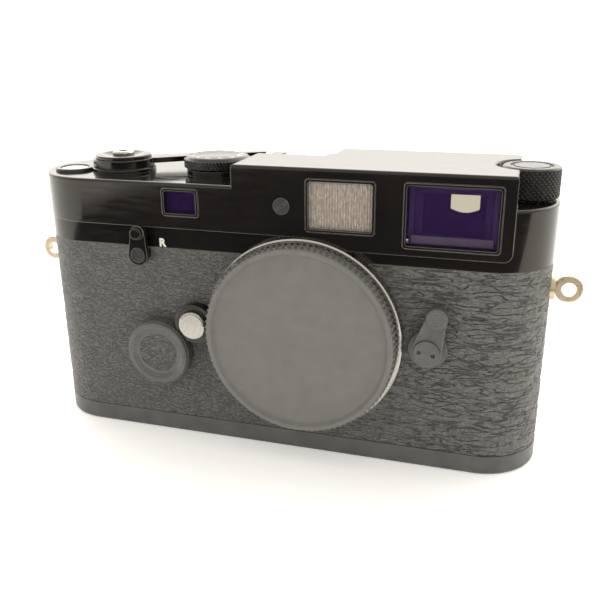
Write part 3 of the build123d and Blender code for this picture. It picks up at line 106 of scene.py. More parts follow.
# ---- small shader helpers ------------------------------------------------------------------------
class Shader:
    """A material with a Principled shader and helpers that chain texture nodes to it."""

    def __init__(self, name, color, roughness, metallic=0.0, **sockets):
        self.material = bpy.data.materials.new(name)
        self.material.use_nodes = True
        self.tree = self.material.node_tree
        self.shader = self.tree.nodes["Principled BSDF"]
        self.shader.inputs["Base Color"].default_value = (*color, 1)
        self.shader.inputs["Roughness"].default_value = roughness
        self.shader.inputs["Metallic"].default_value = metallic
        for socket, value in sockets.items():
            self.shader.inputs[socket.replace("_", " ").title().replace("Ior", "IOR")].default_value = value
        self.bump = None
        self.edge = None
        self.coords = self.tree.nodes.new("ShaderNodeTexCoord").outputs["Object"]

    def node(self, kind, **values):
        made = self.tree.nodes.new("ShaderNode" + kind)
        for key, value in values.items():
            setattr(made, key, value)
        return made

    def link(self, source, target):
        self.tree.links.new(source, target)

    def mapped(self, scale):
        mapping = self.node("Mapping")
        mapping.inputs["Scale"].default_value = scale
        self.link(self.coords, mapping.inputs["Vector"])
        return mapping.outputs["Vector"]

    def noise(self, scale, detail=3.0, rough=0.55, stretch=(1, 1, 1), distortion=0.0):
        tex = self.node("TexNoise")
        tex.inputs["Scale"].default_value = scale
        tex.inputs["Detail"].default_value = detail
        tex.inputs["Roughness"].default_value = rough
        tex.inputs["Distortion"].default_value = distortion
        self.link(self.mapped(stretch), tex.inputs["Vector"])
        return tex.outputs["Fac"]

    def remap(self, value, low, high, out_low, out_high):
        ramp = self.node("MapRange", clamp=True)
        ramp.inputs["From Min"].default_value = low
        ramp.inputs["From Max"].default_value = high
        ramp.inputs["To Min"].default_value = out_low
        ramp.inputs["To Max"].default_value = out_high
        self.link(value, ramp.inputs["Value"])
        return ramp.outputs["Result"]

    def colors(self, value, stops):
        ramp = self.node("ValToRGB")
        points = ramp.color_ramp.elements
        while len(points) < len(stops):
            points.new(0.5)
        for point, (place, color) in zip(points, stops):
            point.position = place
            point.color = (*color, 1)
        self.link(value, ramp.inputs["Fac"])
        return ramp.outputs["Color"]

    def paint(self, color):
        self.link(color, self.shader.inputs["Base Color"])

    def rough(self, value):
        self.link(value, self.shader.inputs["Roughness"])

    def round_edges(self, radius):
        """Catches light along sharp edges, as if they were rounded by radius."""
        bevel = self.node("Bevel", samples=4)
        bevel.inputs["Radius"].default_value = radius
        self.edge = bevel.outputs["Normal"]
        self.link(self.edge, self.shader.inputs["Normal"])

    def crease(self, scale, width, stretch=(1, 1, 1), detail=3.0):
        """0 in thin wavy creases, 1 on the skin between them."""
        field = self.noise(scale, detail, 0.55, stretch, distortion=0.5)
        shift = self.node("Math", operation="SUBTRACT")
        self.link(field, shift.inputs[0])
        shift.inputs[1].default_value = 0.5
        size = self.node("Math", operation="ABSOLUTE")
        self.link(shift.outputs["Value"], size.inputs[0])
        return self.remap(size.outputs["Value"], 0.0, width, 0.0, 1.0)

    def wear_and_highlight_edges(self, radius, color, share):
        """Lightens the base colour along edges: partly rubbed finish, partly a painted highlight. Called
        after paint().
        """
        bevel = self.node("Bevel", samples=6)
        bevel.inputs["Radius"].default_value = radius
        facing = self.node("VectorMath", operation="DOT_PRODUCT")
        self.link(bevel.outputs["Normal"], facing.inputs[0])
        self.link(self.node("NewGeometry").outputs["Normal"], facing.inputs[1])
        mask = self.remap(facing.outputs["Value"], 0.8, 0.97, share, 0.0)
        mix = self.node("MixRGB")
        socket = self.shader.inputs["Base Color"]
        self.link(mask, mix.inputs["Fac"])
        self.link(socket.links[0].from_socket, mix.inputs["Color1"])
        mix.inputs["Color2"].default_value = (*color, 1)
        self.link(mix.outputs["Color"], socket)

    def relief(self, height, strength, distance, scaled_by=None):
        """Adds a bump layer, on top of the ones before it. distance is in metres, and scaled_by is a
        value in the shader that stands for the strength."""
        bump = self.node("Bump")
        bump.inputs["Strength"].default_value = strength
        if scaled_by:
            self.link(scaled_by, bump.inputs["Strength"])
        bump.inputs["Distance"].default_value = distance
        self.link(height, bump.inputs["Height"])
        below = self.bump.outputs["Normal"] if self.bump else self.edge
        if below:
            self.link(below, bump.inputs["Normal"])
        self.bump = bump
        self.link(bump.outputs["Normal"], self.shader.inputs["Normal"])


def gloss_lacquer():
    """Black lacquer over brass: mirror-like, with a faint orange peel and fine rubbing marks."""
    s = Shader("gloss_lacquer", (0.008, 0.007, 0.0065), 0.1, coat_weight=0.06, coat_roughness=0.05,
               specular_tint=(1.0, 0.965, 0.88, 1))
    s.round_edges(0.4 * MM)
    s.paint(s.colors(s.noise(60), [(0.3, (0.005, 0.0047, 0.0045)), (0.8, (0.010, 0.008, 0.0075))]))
    # Lighter edges: brass showing where the lacquer is rubbed, and a painted highlight.
    s.wear_and_highlight_edges(0.22 * MM, (0.40, 0.38, 0.33), 0.75)
    s.rough(s.remap(s.noise(900, 4, stretch=(0.12, 1, 1)), 0.35, 0.75, 0.07, 0.2))
    s.relief(s.noise(420, 2), 0.05, 0.03 * MM)
    s.relief(s.noise(3500, 3), 0.04, 0.01 * MM)
    return s.material


def satin_black(name="satin_black", color=(0.055, 0.054, 0.052), roughness=0.38, grain=0.25, edge_highlight=0.1):
    """Black anodised or stove-enamelled metal, slightly rubbed, with painted highlights along its edges."""
    s = Shader(name, color, roughness)
    s.round_edges(0.15 * MM)
    dark = tuple(c * 0.8 for c in color)
    light = tuple(c * 1.25 for c in color)
    s.paint(s.colors(s.noise(180, 5), [(0.3, dark), (0.75, light)]))
    # Lighter edges, out to the given radius: rubbed finish and a painted highlight.
    s.wear_and_highlight_edges(edge_highlight * MM, tuple(min(4 * c, 0.3) for c in color), 0.7)
    s.rough(s.remap(s.noise(1400, 4), 0.3, 0.7, roughness - 0.08, roughness + 0.1))
    s.relief(s.noise(5000, 2), grain, 0.012 * MM)
    return s.material


def knurl_black():
    s = Shader("knurl_black", (0.018, 0.016, 0.016), 0.24)
    s.paint(s.colors(s.noise(700, 4), [(0.35, (0.012, 0.011, 0.011)), (0.8, (0.035, 0.031, 0.029))]))
    # Lighter crest edges: painted highlight on the knurling.
    s.wear_and_highlight_edges(0.12 * MM, (0.16, 0.15, 0.14), 0.6)
    s.rough(s.remap(s.noise(1500, 3), 0.3, 0.7, 0.18, 0.36))
    s.relief(s.noise(4000, 2), 0.15, 0.01 * MM)
    return s.material


def leather():
    """Black pebbled leather: matt ridges parted by fine creases that run mostly level, darkened by painted
    shade.
    """
    s = Shader("leather", (0.09, 0.088, 0.084), 0.48)
    place = s.node("SeparateXYZ")
    s.link(s.coords, place.inputs["Vector"])
    coarse = s.remap(place.outputs["X"], 5 * MM, 45 * MM, 0.15, 1.0)
    even = s.remap(place.outputs["X"], 5 * MM, 55 * MM, 1.0, 0.6)
    broad = s.crease(640, 0.045, stretch=(0.2, 0.2, 1), detail=1.6)
    medium = s.crease(1350, 0.08, stretch=(0.42, 0.42, 1), detail=1.6)
    fine = s.crease(1900, 0.10, stretch=(0.6, 0.6, 1), detail=2.0)
    swell = s.noise(420, 3, stretch=(0.4, 0.4, 1))
    # The creases are painted darker than the ridges: painted shade.
    base = s.colors(medium, [(0.0, (0.060, 0.058, 0.055)), (0.7, (0.106, 0.104, 0.098)),
                             (1.0, (0.116, 0.113, 0.107))])
    # Broad creases darkened further where the grain is coarse: painted shade.
    crease_shade = s.node("MixRGB", blend_type="MULTIPLY")
    s.link(coarse, crease_shade.inputs["Fac"])
    s.link(base, crease_shade.inputs["Color1"])
    s.link(s.colors(broad, [(0.0, (0.36, 0.36, 0.36)), (0.7, (1.0, 1.0, 1.0)), (1.0, (1.14, 1.14, 1.14))]),
           crease_shade.inputs["Color2"])
    s.paint(crease_shade.outputs["Color"])
    s.rough(s.remap(s.noise(900, 4), 0.3, 0.7, 0.34, 0.52))
    s.relief(swell, 1.0, 0.9 * MM, coarse)
    s.relief(broad, 1.0, 0.34 * MM, coarse)
    s.relief(medium, 0.8, 0.18 * MM, even)
    s.relief(fine, 0.6, 0.08 * MM, even)
    return s.material


def cap_plastic():
    """Fine matt moulded plastic."""
    s = Shader("cap_plastic", (0.15, 0.147, 0.138), 0.5)
    s.round_edges(0.25 * MM)
    s.paint(s.colors(s.noise(300, 6), [(0.3, (0.138, 0.135, 0.126)), (0.75, (0.162, 0.159, 0.149))]))
    # Lighter rim: rubbed edges and a painted highlight.
    s.wear_and_highlight_edges(0.12 * MM, (0.34, 0.33, 0.31), 0.6)
    s.rough(s.remap(s.noise(2600, 3), 0.3, 0.7, 0.42, 0.6))
    s.relief(s.noise(5200, 3), 0.5, 0.02 * MM)
    return s.material


def bright_metal(name, color, roughness=0.12, lines=(1, 1, 1)):
    s = Shader(name, color, roughness, metallic=1.0)
    s.rough(s.remap(s.noise(2200, 4, stretch=lines), 0.3, 0.7, roughness * 0.7, roughness * 1.6))
    s.relief(s.noise(3800, 2, stretch=lines), 0.08, 0.01 * MM)
    return s.material


def coated_glass():
    """Anti-reflection coated finder glass: deep violet."""
    s = Shader("coated_glass", (0.03, 0.012, 0.062), 0.04, alpha=0.5, specular_tint=(0.6, 0.45, 1.0, 1))
    s.rough(s.remap(s.noise(500, 2), 0.3, 0.7, 0.03, 0.06))
    return s.material


def ribbed_glass():
    s = Shader("ribbed_glass", (0.5, 0.45, 0.4), 0.22)
    s.paint(s.colors(s.noise(1700, 6, 0.75, stretch=(1.2, 1.2, 0.4)),
                     [(0.3, (0.15, 0.13, 0.115)), (0.5, (0.33, 0.285, 0.245)), (0.72, (0.58, 0.52, 0.45))]))
    s.relief(s.noise(2500, 3), 0.8, 0.05 * MM)
    return s.material


def clear_glass():
    s = Shader("clear_glass", (0.8, 0.8, 0.77), 0.03, alpha=0.7, coat_weight=0.5)
    s.rough(s.remap(s.noise(400, 2), 0.3, 0.7, 0.02, 0.05))
    return s.material


def cloth():
    s = Shader("shutter_cloth", (0.012, 0.012, 0.012), 0.8)
    s.relief(s.noise(3000, 2), 0.4, 0.03 * MM)
    return s.material


def white_fill():
    """White enamel rubbed into engraved marks."""
    s = Shader("white_fill", (0.8, 0.78, 0.72), 0.45)
    s.paint(s.colors(s.noise(900, 3), [(0.2, (0.68, 0.66, 0.6)), (0.8, (0.84, 0.82, 0.77))]))
    s.relief(s.noise(4000, 2), 0.2, 0.01 * MM)
    return s.material


def dial_face():
    s = Shader("dial_face", (0.02, 0.018, 0.017), 0.22, coat_weight=0.4)
    s.paint(s.colors(s.noise(400, 4), [(0.3, (0.014, 0.013, 0.012)), (0.8, (0.03, 0.027, 0.024))]))
    s.rough(s.remap(s.noise(1600, 4), 0.3, 0.7, 0.16, 0.3))
    s.relief(s.noise(4200, 2), 0.15, 0.01 * MM)
    return s.material


MATERIALS = {
    "black_paint": gloss_lacquer(),
    "satin_black": satin_black(),
    "black_knurl": knurl_black(),
    "leather": leather(),
    "cap_plastic": cap_plastic(),
    "chrome": bright_metal("chrome", (0.44, 0.42, 0.39), 0.2),
    "champagne_nickel": bright_metal("champagne_nickel", (0.62, 0.52, 0.38), 0.3),
    "steel": bright_metal("steel", (0.5, 0.49, 0.47), 0.28, (1, 6, 1)),
    "alloy": bright_metal("alloy", (0.55, 0.55, 0.56), 0.35),
    "coated_glass": coated_glass(),
    "ribbed_glass": ribbed_glass(),
    "clear_glass": clear_glass(),
    "cloth": cloth(),
}
SATIN_DETAIL = satin_black("satin_detail", (0.095, 0.093, 0.088), 0.32, edge_highlight=0.42)
BLACKENED = satin_black("blackened_steel", (0.045, 0.043, 0.042), 0.16, grain=0.05, edge_highlight=0.3)
BASE_SATIN = satin_black("base_satin", (0.078, 0.076, 0.072), 0.36, grain=0.12)
# The rear baffle is a darker copy of the front one: painted shade deeper in the finder.
BAFFLES = (satin_black("baffle_front", (0.30, 0.24, 0.42), 0.5),
           satin_black("baffle_rear", (0.14, 0.10, 0.22), 0.5))
SILL = satin_black("finder_sill", (0.22, 0.19, 0.22), 0.5)
WHITE = white_fill()
FACE = dial_face()


def dress(node, material):
    slots = NODES[node].data.materials
    slots.clear()
    slots.append(material)


for part in frame["record"]["subparts"]:
    dress(part["node"], MATERIALS[part["material_slot"]])
for node in ("battery_cover", "selector_base", "selector_lever", "selector_screw"):
    dress(node, SATIN_DETAIL)
for node in ("rewind_lever_screw", "cover_screw", "counter_ring"):
    dress(node, BLACKENED)
for node in ("rewind_release_lever", "release_guard", "advance_base"):
    dress(node, MATERIALS["black_paint"])
dress("base_plate", BASE_SATIN)
dress("film_speed_dial", FACE)


# ---- mesh helpers --------------------------------------------------------------------------------
def add_mesh(name, verts, faces, material, body, smooth=True):
    mesh = bpy.data.meshes.new(name)
    mesh.from_pydata([tuple(v) for v in verts], [], faces)
    mesh.materials.append(material)
    mesh.polygons.foreach_set("use_smooth", [smooth] * len(mesh.polygons))
    mesh.validate()
    mesh.update()
    piece = bpy.data.objects.new(name, mesh)
    bpy.context.scene.collection.objects.link(piece)
    if body:
        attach(piece, body)
    return piece


def grid_faces(rows, columns, closed=False):
    """Quads of a grid of rows x columns points; closed joins the last column to the first."""
    faces = []
    span = columns if closed else columns - 1
    for row in range(rows - 1):
        for column in range(span):
            a = row * columns + column
            b = row * columns + (column + 1) % columns
            faces.append((a, b, b + columns, a + columns))
    return faces


def lathe(name, profile, place, axis, material, body, segments=96, ripple=None):
    """Turned piece. profile is (radius, height) from the bottom centre to the top centre, along axis.

    ripple(angle, height) gives an extra radius, for knurling."""
    turn = Vector((0, 0, 1)).rotation_difference(Vector(axis)).to_matrix()
    verts = []
    for radius, height in profile:
        for step in range(segments):
            angle = 2 * math.pi * step / segments
            extra = ripple(angle, height, radius) if ripple else 0.0
            spot = Vector(((radius + extra) * math.cos(angle), (radius + extra) * math.sin(angle), height))
            verts.append(Vector(place) + turn @ spot)
    faces = grid_faces(len(profile), segments, closed=True)
    piece = add_mesh(name, verts, faces, material, body)
    return piece


def sharpen(piece, angle=35):
    """Flat shading across sharp edges, smooth elsewhere."""
    mesh = piece.data
    limit = math.radians(angle)
    bm = bmesh.new()
    bm.from_mesh(mesh)
    for edge in bm.edges:
        edge.smooth = len(edge.link_faces) != 2 or edge.calc_face_angle(0) < limit
    bm.to_mesh(mesh)
    bm.free()
    return piece


# ---- leather covering ----------------------------------------------------------------------------
def outline_point(distance):
    """Point and outward direction on the body's outline, distance metres from the rear middle,
    counted leftward round the left end, along the front and back round the right end."""
    straight = HALF_LENGTH - END_RADIUS
    flat_end = 2 * (HALF_DEPTH - END_RADIUS)
    quarter = math.pi * END_RADIUS / 2
    runs = [("line", straight, Vector((0, HALF_DEPTH)), Vector((-1, 0))),
            ("arc", quarter, Vector((-straight, HALF_DEPTH - END_RADIUS)), 90),
            ("line", flat_end, Vector((-HALF_LENGTH, HALF_DEPTH - END_RADIUS)), Vector((0, -1))),
            ("arc", quarter, Vector((-straight, -HALF_DEPTH + END_RADIUS)), 180),
            ("line", 2 * straight, Vector((-straight, -HALF_DEPTH)), Vector((1, 0))),
            ("arc", quarter, Vector((straight, -HALF_DEPTH + END_RADIUS)), 270),
            ("line", flat_end, Vector((HALF_LENGTH, -HALF_DEPTH + END_RADIUS)), Vector((0, 1))),
            ("arc", quarter, Vector((straight, HALF_DEPTH - END_RADIUS)), 0),
            ("line", straight, Vector((straight, HALF_DEPTH)), Vector((-1, 0)))]
    for kind, length, start, way in runs:
        if distance <= length or kind == "line" and start.x == straight and way.x < 0:
            if kind == "line":
                return start + way * distance, Vector((way.y, -way.x))
            angle = math.radians(way + 90 * distance / length)
            out = Vector((math.cos(angle), math.sin(angle)))
            return start + out * END_RADIUS, out
        distance -= length


def grain(u, v, coarse):
    """Depth of the leather's creases at u along and v up the skin, 0 on the ridges to 1 in a crease."""
    bend = noise.noise(Vector((u * 140, v * 140, 7.0)))
    bend2 = noise.noise(Vector((u * 60, v * 60, 17.0)))
    x = u * 210 + bend * 0.9
    y = v * 620 + bend * 1.6 + bend2 * 3.2
    ridge = 1 - abs(noise.noise(Vector((x, y, 3.0)))) * 2.6
    cross = 1 - abs(noise.noise(Vector((u * 560 + bend2 * 2.2, v * 260 + bend, 31.0)))) * 2.8
    pebble = 0.5 + 0.5 * noise.noise(Vector((u * 1300, v * 1700, 51.0)))
    depth = max(ridge, 0) ** 2 * 0.75 + max(cross, 0) ** 2 * (0.25 + 0.5 * coarse) + 0.25 * pebble
    return min(depth, 1.3) / 1.3


def make_leather():
    """The covering from one edge of the door round the front to the other, with real creases."""
    door_low, door_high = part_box("rear_door")
    gap = 0.25 * MM
    whole = 4 * (HALF_LENGTH - END_RADIUS) + 4 * (HALF_DEPTH - END_RADIUS) + 2 * math.pi * END_RADIUS
    start = -door_low.x + gap
    end = whole - door_high.x - gap
    step = LEATHER_STEP * MM
    columns = int((end - start) / step)
    rows = int((BODY_HIGH.z - BODY_LOW.z) / step)
    depth = LEATHER_DEPTH * MM
    verts = []
    hem = HEM * MM
    for row in range(rows + 2):
        v = min(max((row - 0.5) / (rows - 1), 0), 1)
        z = BODY_LOW.z + (BODY_HIGH.z - BODY_LOW.z) * v
        tuck = hem if row in (0, rows + 1) else 0.0
        for column in range(columns):
            u = start + (end - start) * column / (columns - 1)
            point, out = outline_point(u)
            coarse = min(max((point.x - COARSE_FROM * MM) / (COARSE_OVER * MM), 0), 1)
            edge = min((z - BODY_LOW.z), (BODY_HIGH.z - z)) / (0.5 * MM)
            sink = depth * grain(u, z, coarse) * min(edge, 1) + tuck
            spot = point - out * sink
            verts.append((spot.x, spot.y, z))
    piece = add_mesh("leather_skin", verts, grid_faces(rows + 2, columns), MATERIALS["leather"], "root")
    cut_holes(piece)
    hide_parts("leather_wrap")
    return piece


def cut_holes(piece):
    """Takes away the leather that lies hidden under the mount, battery cover and other fittings."""
    mount = centre("mount_ring")
    battery = centre("battery_cover")
    guard = centre("release_guard")
    covered = [(mount, UNDER_MOUNT * MM), (battery, UNDER_BATTERY * MM), (guard, UNDER_GUARD * MM)]
    bm = bmesh.new()
    bm.from_mesh(piece.data)
    gone = []
    for face in bm.faces:
        spot = face.calc_center_median()
        if spot.y < 0 and any(math.hypot(spot.x - c.x, spot.z - c.z) < r for c, r in covered):
            gone.append(face)
    bmesh.ops.delete(bm, geom=gone, context="FACES")
    bm.to_mesh(piece.data)
    bm.free()


def make_door_leather():
    low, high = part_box("door_leather")
    dial = centre("film_speed_dial")
    step = DOOR_STEP * MM
    columns = int((high.x - low.x) / step)
    rows = int((high.z - low.z) / step)
    verts = []
    for row in range(rows):
        z = low.z + (high.z - low.z) * row / (rows - 1)
        for column in range(columns):
            x = low.x + (high.x - low.x) * column / (columns - 1)
            edge = min(z - low.z, high.z - z, x - low.x, high.x - x) / (0.5 * MM)
            sink = DOOR_DEPTH * MM * grain(x, z + 0.3, 0.3) if edge > 0 else 0.5 * MM
            verts.append((x, high.y - sink * min(max(edge, 0.4), 1), z))
    faces = [tuple(reversed(f)) for f in grid_faces(rows, columns)]
    keep = []
    for face in faces:
        x, _, z = verts[face[0]]
        if math.hypot(x - dial.x, z - dial.z) > UNDER_FILM_DIAL * MM:
            keep.append(face)
    piece = add_mesh("door_skin", verts, keep, MATERIALS["leather"], "door")
    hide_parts("door_leather")


def make_battery_leather():
    """Round leather inlay in the battery cover."""
    low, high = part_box("battery_inlay")
    mid = centre("battery_inlay")
    radius = (high.x - low.x) / 2
    rings, segments = 36, 120
    verts = [(mid.x, low.y + 0.05 * MM, mid.z)]
    for ring in range(1, rings + 1):
        r = radius * ring / rings
        for step in range(segments):
            angle = 2 * math.pi * step / segments
            x, z = mid.x + r * math.cos(angle), mid.z + r * math.sin(angle)
            fade = min((radius - r) / (0.4 * MM), 1)
            verts.append((x, low.y + 0.2 * MM * grain(x * 0.9 + 0.5, z * 0.8, 0.2) * fade, z))
    faces = [(0, 1 + (step + 1) % segments, 1 + step) for step in range(segments)]
    for ring in range(rings - 1):
        for step in range(segments):
            a = 1 + ring * segments + step
            b = 1 + ring * segments + (step + 1) % segments
            faces.append((a, b, b + segments, a + segments))
    piece = add_mesh("battery_leather", verts, faces, MATERIALS["leather"], "battery_lid")
    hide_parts("battery_inlay")


# ---- knurled knobs -------------------------------------------------------------------------------
def triangle_wave(value):
    return abs((value % 1.0) * 2 - 1)


def make_rewind_knob():
    """Cross-knurled knob with a turned top and a ring round its middle disc."""
    low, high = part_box("rewind_knob")
    mid = centre("rewind_knob")
    radius = (high.x - low.x) / 2
    base = COVER_HIGH.z - KNOB_DROP * MM
    height = high.z - base
    count = 36
    depth = 0.42 * MM
    band_low, band_high = 0.5 * MM, height - 0.55 * MM

    def ripple(angle, z, r):
        if r < radius - 0.45 * MM or not band_low < z < band_high:
            return 0.0
        around = angle / (2 * math.pi) * count
        along = (z - band_low) / (2 * math.pi * radius) * count
        valley = min(triangle_wave(around + along), triangle_wave(around - along))
        return depth * (min(valley * 1.7, 1.0) - 1)

    rows = 70
    profile = [(0.5 * MM, 0), (radius - 0.9 * MM, 0), (radius - 0.4 * MM, 0.1 * MM),
               (radius - 0.02 * MM, band_low)]
    for row in range(1, rows):
        profile.append((radius, band_low + (band_high - band_low) * row / rows))
    profile += [(radius - 0.05 * MM, band_high), (radius - 0.25 * MM, height - 0.2 * MM),
                (radius - 0.6 * MM, height), (radius - 1.9 * MM, height),
                (radius - 2.05 * MM, height - 0.35 * MM),
                (radius - 2.75 * MM, height - 0.35 * MM), (radius - 2.9 * MM, height - 0.02 * MM),
                (radius - 3.4 * MM, height), (0.4 * MM, height - 0.03 * MM),
                (0.0005 * MM, height - 0.03 * MM)]
    piece = lathe("rewind_knob_knurled", profile, (mid.x, mid.y, base), (0, 0, 1), MATERIALS["black_knurl"],
                  "rewind_knob", 528, ripple)
    sharpen(piece, 50)
    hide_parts("rewind_knob")


def make_speed_dial():
    """Dial with slanting teeth, a sloped shoulder and a flat numbered face."""
    low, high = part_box("speed_dial")
    mid = centre("speed_dial")
    radius = (high.x - low.x) / 2
    base = COVER_HIGH.z - DIAL_DROP * MM
    height = high.z - base
    count = 60
    depth = 0.42 * MM
    band_low, band_high = 0.3 * MM, height - 0.85 * MM

    def ripple(angle, z, r):
        if r < radius - 0.3 * MM or not band_low <= z <= band_high:
            return 0.0
        slant = (z - band_low) / (2 * math.pi * radius) * count * 0.55
        tooth = triangle_wave(angle / (2 * math.pi) * count + slant)
        return depth * (min(tooth * 1.5, 1.0) - 1)

    profile = [(2.0 * MM, 0), (radius - 1.0 * MM, 0), (radius - 0.45 * MM, 0.15 * MM)]
    rows = 10
    for row in range(rows + 1):
        profile.append((radius, band_low + (band_high - band_low) * row / rows))
    profile += [(radius - 0.42 * MM, band_high + 0.06 * MM), (radius - 0.75 * MM, height - 0.25 * MM),
                (radius - 1.2 * MM, height), (0.5 * MM, height), (0.0005 * MM, height)]
    piece = lathe("speed_dial_knurled", profile, (mid.x, mid.y, base), (0, 0, 1), MATERIALS["black_knurl"],
                  "dial", 480, ripple)
    sharpen(piece, 40)
    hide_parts("speed_dial")
    marks = ["1000", "500", "250", "125", "60", "30", "15", "8", "4", "2", "1", "B"]
    for index, mark in enumerate(marks):
        angle = math.radians(90 - index * 360 / len(marks))
        out = Vector((math.cos(angle), math.sin(angle), 0))
        spot = Vector((mid.x, mid.y, high.z)) + out * (radius - 2.5 * MM)
        turn = Matrix.Rotation(angle - math.pi / 2, 3, "Z")
        write("speed_mark_" + str(index), mark, spot, turn, 1.35 * MM, "dial")


def make_film_marks():
    """Film speed numbers round the dial in the door."""
    low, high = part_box("film_speed_dial")
    mid = centre("film_speed_dial")
    radius = (high.x - low.x) / 2
    marks = ["6", "12", "25", "50", "100", "200", "400", "800", "1600"]
    upright = Matrix.Rotation(math.pi, 3, "Z") @ Matrix.Rotation(math.pi / 2, 3, "X")
    reach = radius - 1.7 * MM
    for index, mark in enumerate(marks):
        angle = 2 * math.pi * index / len(marks)
        spot = Vector((mid.x + math.sin(angle) * reach, high.y, mid.z + math.cos(angle) * reach))
        turn = Matrix.Rotation(angle, 3, "Y") @ upright
        write("film_mark_" + str(index), mark, spot, turn, 1.5 * MM, "film_dial")


def write(name, words, place, turn, size, body):
    """Raised white mark, as a mesh."""
    curve = bpy.data.curves.new(name, "FONT")
    curve.body = words
    curve.size = size
    curve.align_x = "CENTER"
    curve.align_y = "CENTER"
    curve.extrude = LETTER_HALF_THICKNESS * MM
    curve.offset = size * 0.05
    shape = bpy.data.objects.new(name + "_text", curve)
    mesh = bpy.data.meshes.new_from_object(shape)
    bpy.data.objects.remove(shape)
    mesh.name = name
    mesh.transform(Matrix.Translation(place) @ turn.to_4x4())
    mesh.materials.clear()
    mesh.materials.append(WHITE)
    piece = bpy.data.objects.new(name, mesh)
    bpy.context.scene.collection.objects.link(piece)
    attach(piece, body)
    return piece


def make_index_letter():
    """The rewind letter beside the small lever on the front."""
    place = Vector((REWIND_LETTER[0] * MM, -HALF_DEPTH - 0.01 * MM, REWIND_LETTER[1] * MM))
    write("rewind_mark", "R", place, Matrix.Rotation(math.pi / 2, 3, "X"), 2.9 * MM, "root")


# ---- finder inside -------------------------------------------------------------------------------
def rounded_rectangle(width, height, radius):
    points = []
    for cx, cz, start in ((1, 1, 0), (-1, 1, 90), (-1, -1, 180), (1, -1, 270)):
        for step in range(CORNER_STEPS + 1):
            angle = math.radians(start + 90 * step / CORNER_STEPS)
            points.append((cx * (width / 2 - radius) + radius * math.cos(angle),
                           cz * (height / 2 - radius) + radius * math.sin(angle)))
    return points


def frame_piece(name, mid, outer, inner, radius, y0, y1, material):
    """Rectangular frame seen from the front: outer and inner are (width, height)."""
    loops = [(outer, radius, y1), (outer, radius, y0), (inner, radius * 0.6, y0), (inner, radius * 0.6, y1)]
    verts = []
    for (width, height), corner, y in loops:
        verts += [(mid[0] + x, y, mid[1] + z) for x, z in rounded_rectangle(width, height, corner)]
    columns = len(verts) // len(loops)
    faces = grid_faces(len(loops), columns, closed=True)
    return add_mesh(name, verts, faces, material, "root", smooth=False)


def make_bezel_edges():
    """Fine bright lines along the window frames' edges: painted highlights."""
    edge_highlight = Shader("painted_bezel_highlight", (0.5, 0.48, 0.44), 0.3, metallic=0.2)
    edge_highlight.rough(edge_highlight.remap(edge_highlight.noise(2500, 3), 0.3, 0.7, 0.2, 0.45))
    edge_highlight.relief(edge_highlight.noise(4000, 2), 0.2, 0.01 * MM)
    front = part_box("window_bezels")[0].y
    windows = (FINDER_WINDOW, FRAMELINE_WINDOW, RANGEFINDER_WINDOW)
    for index, (left, right, low, high) in enumerate(windows):
        mid = ((left + right) / 2 * MM, (low + high) / 2 * MM)
        width, height = (right - left) * MM, (high - low) * MM
        for name, inset in (("outer", 0.14 * MM), ("inner", 0.62 * MM)):
            outer = (width - 2 * inset, height - 2 * inset)
            inner = (outer[0] - 0.2 * MM, outer[1] - 0.2 * MM)
            frame_piece("bezel_" + name + "_" + str(index), mid, outer, inner, 0.8 * MM, front + 0.001 * MM,
                        front + 0.1 * MM, edge_highlight.material)


def make_selector_rings():
    """Concentric ridges turned in the selector's finger tip."""
    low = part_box("selector_lever")[0]
    tip = (SELECTOR_TIP[0] * MM, low.y + 0.06 * MM, SELECTOR_TIP[1] * MM)
    for index, radius in enumerate(SELECTOR_RIDGES):
        r = radius * MM
        profile = [(r + 0.17 * MM, 0), (r + 0.1 * MM, 0.1 * MM), (r, 0.14 * MM), (r - 0.1 * MM, 0.1 * MM),
                   (r - 0.17 * MM, 0)]
        lathe("selector_ring_" + str(index), profile, tip, (0, -1, 0), SATIN_DETAIL, "selector", 48)


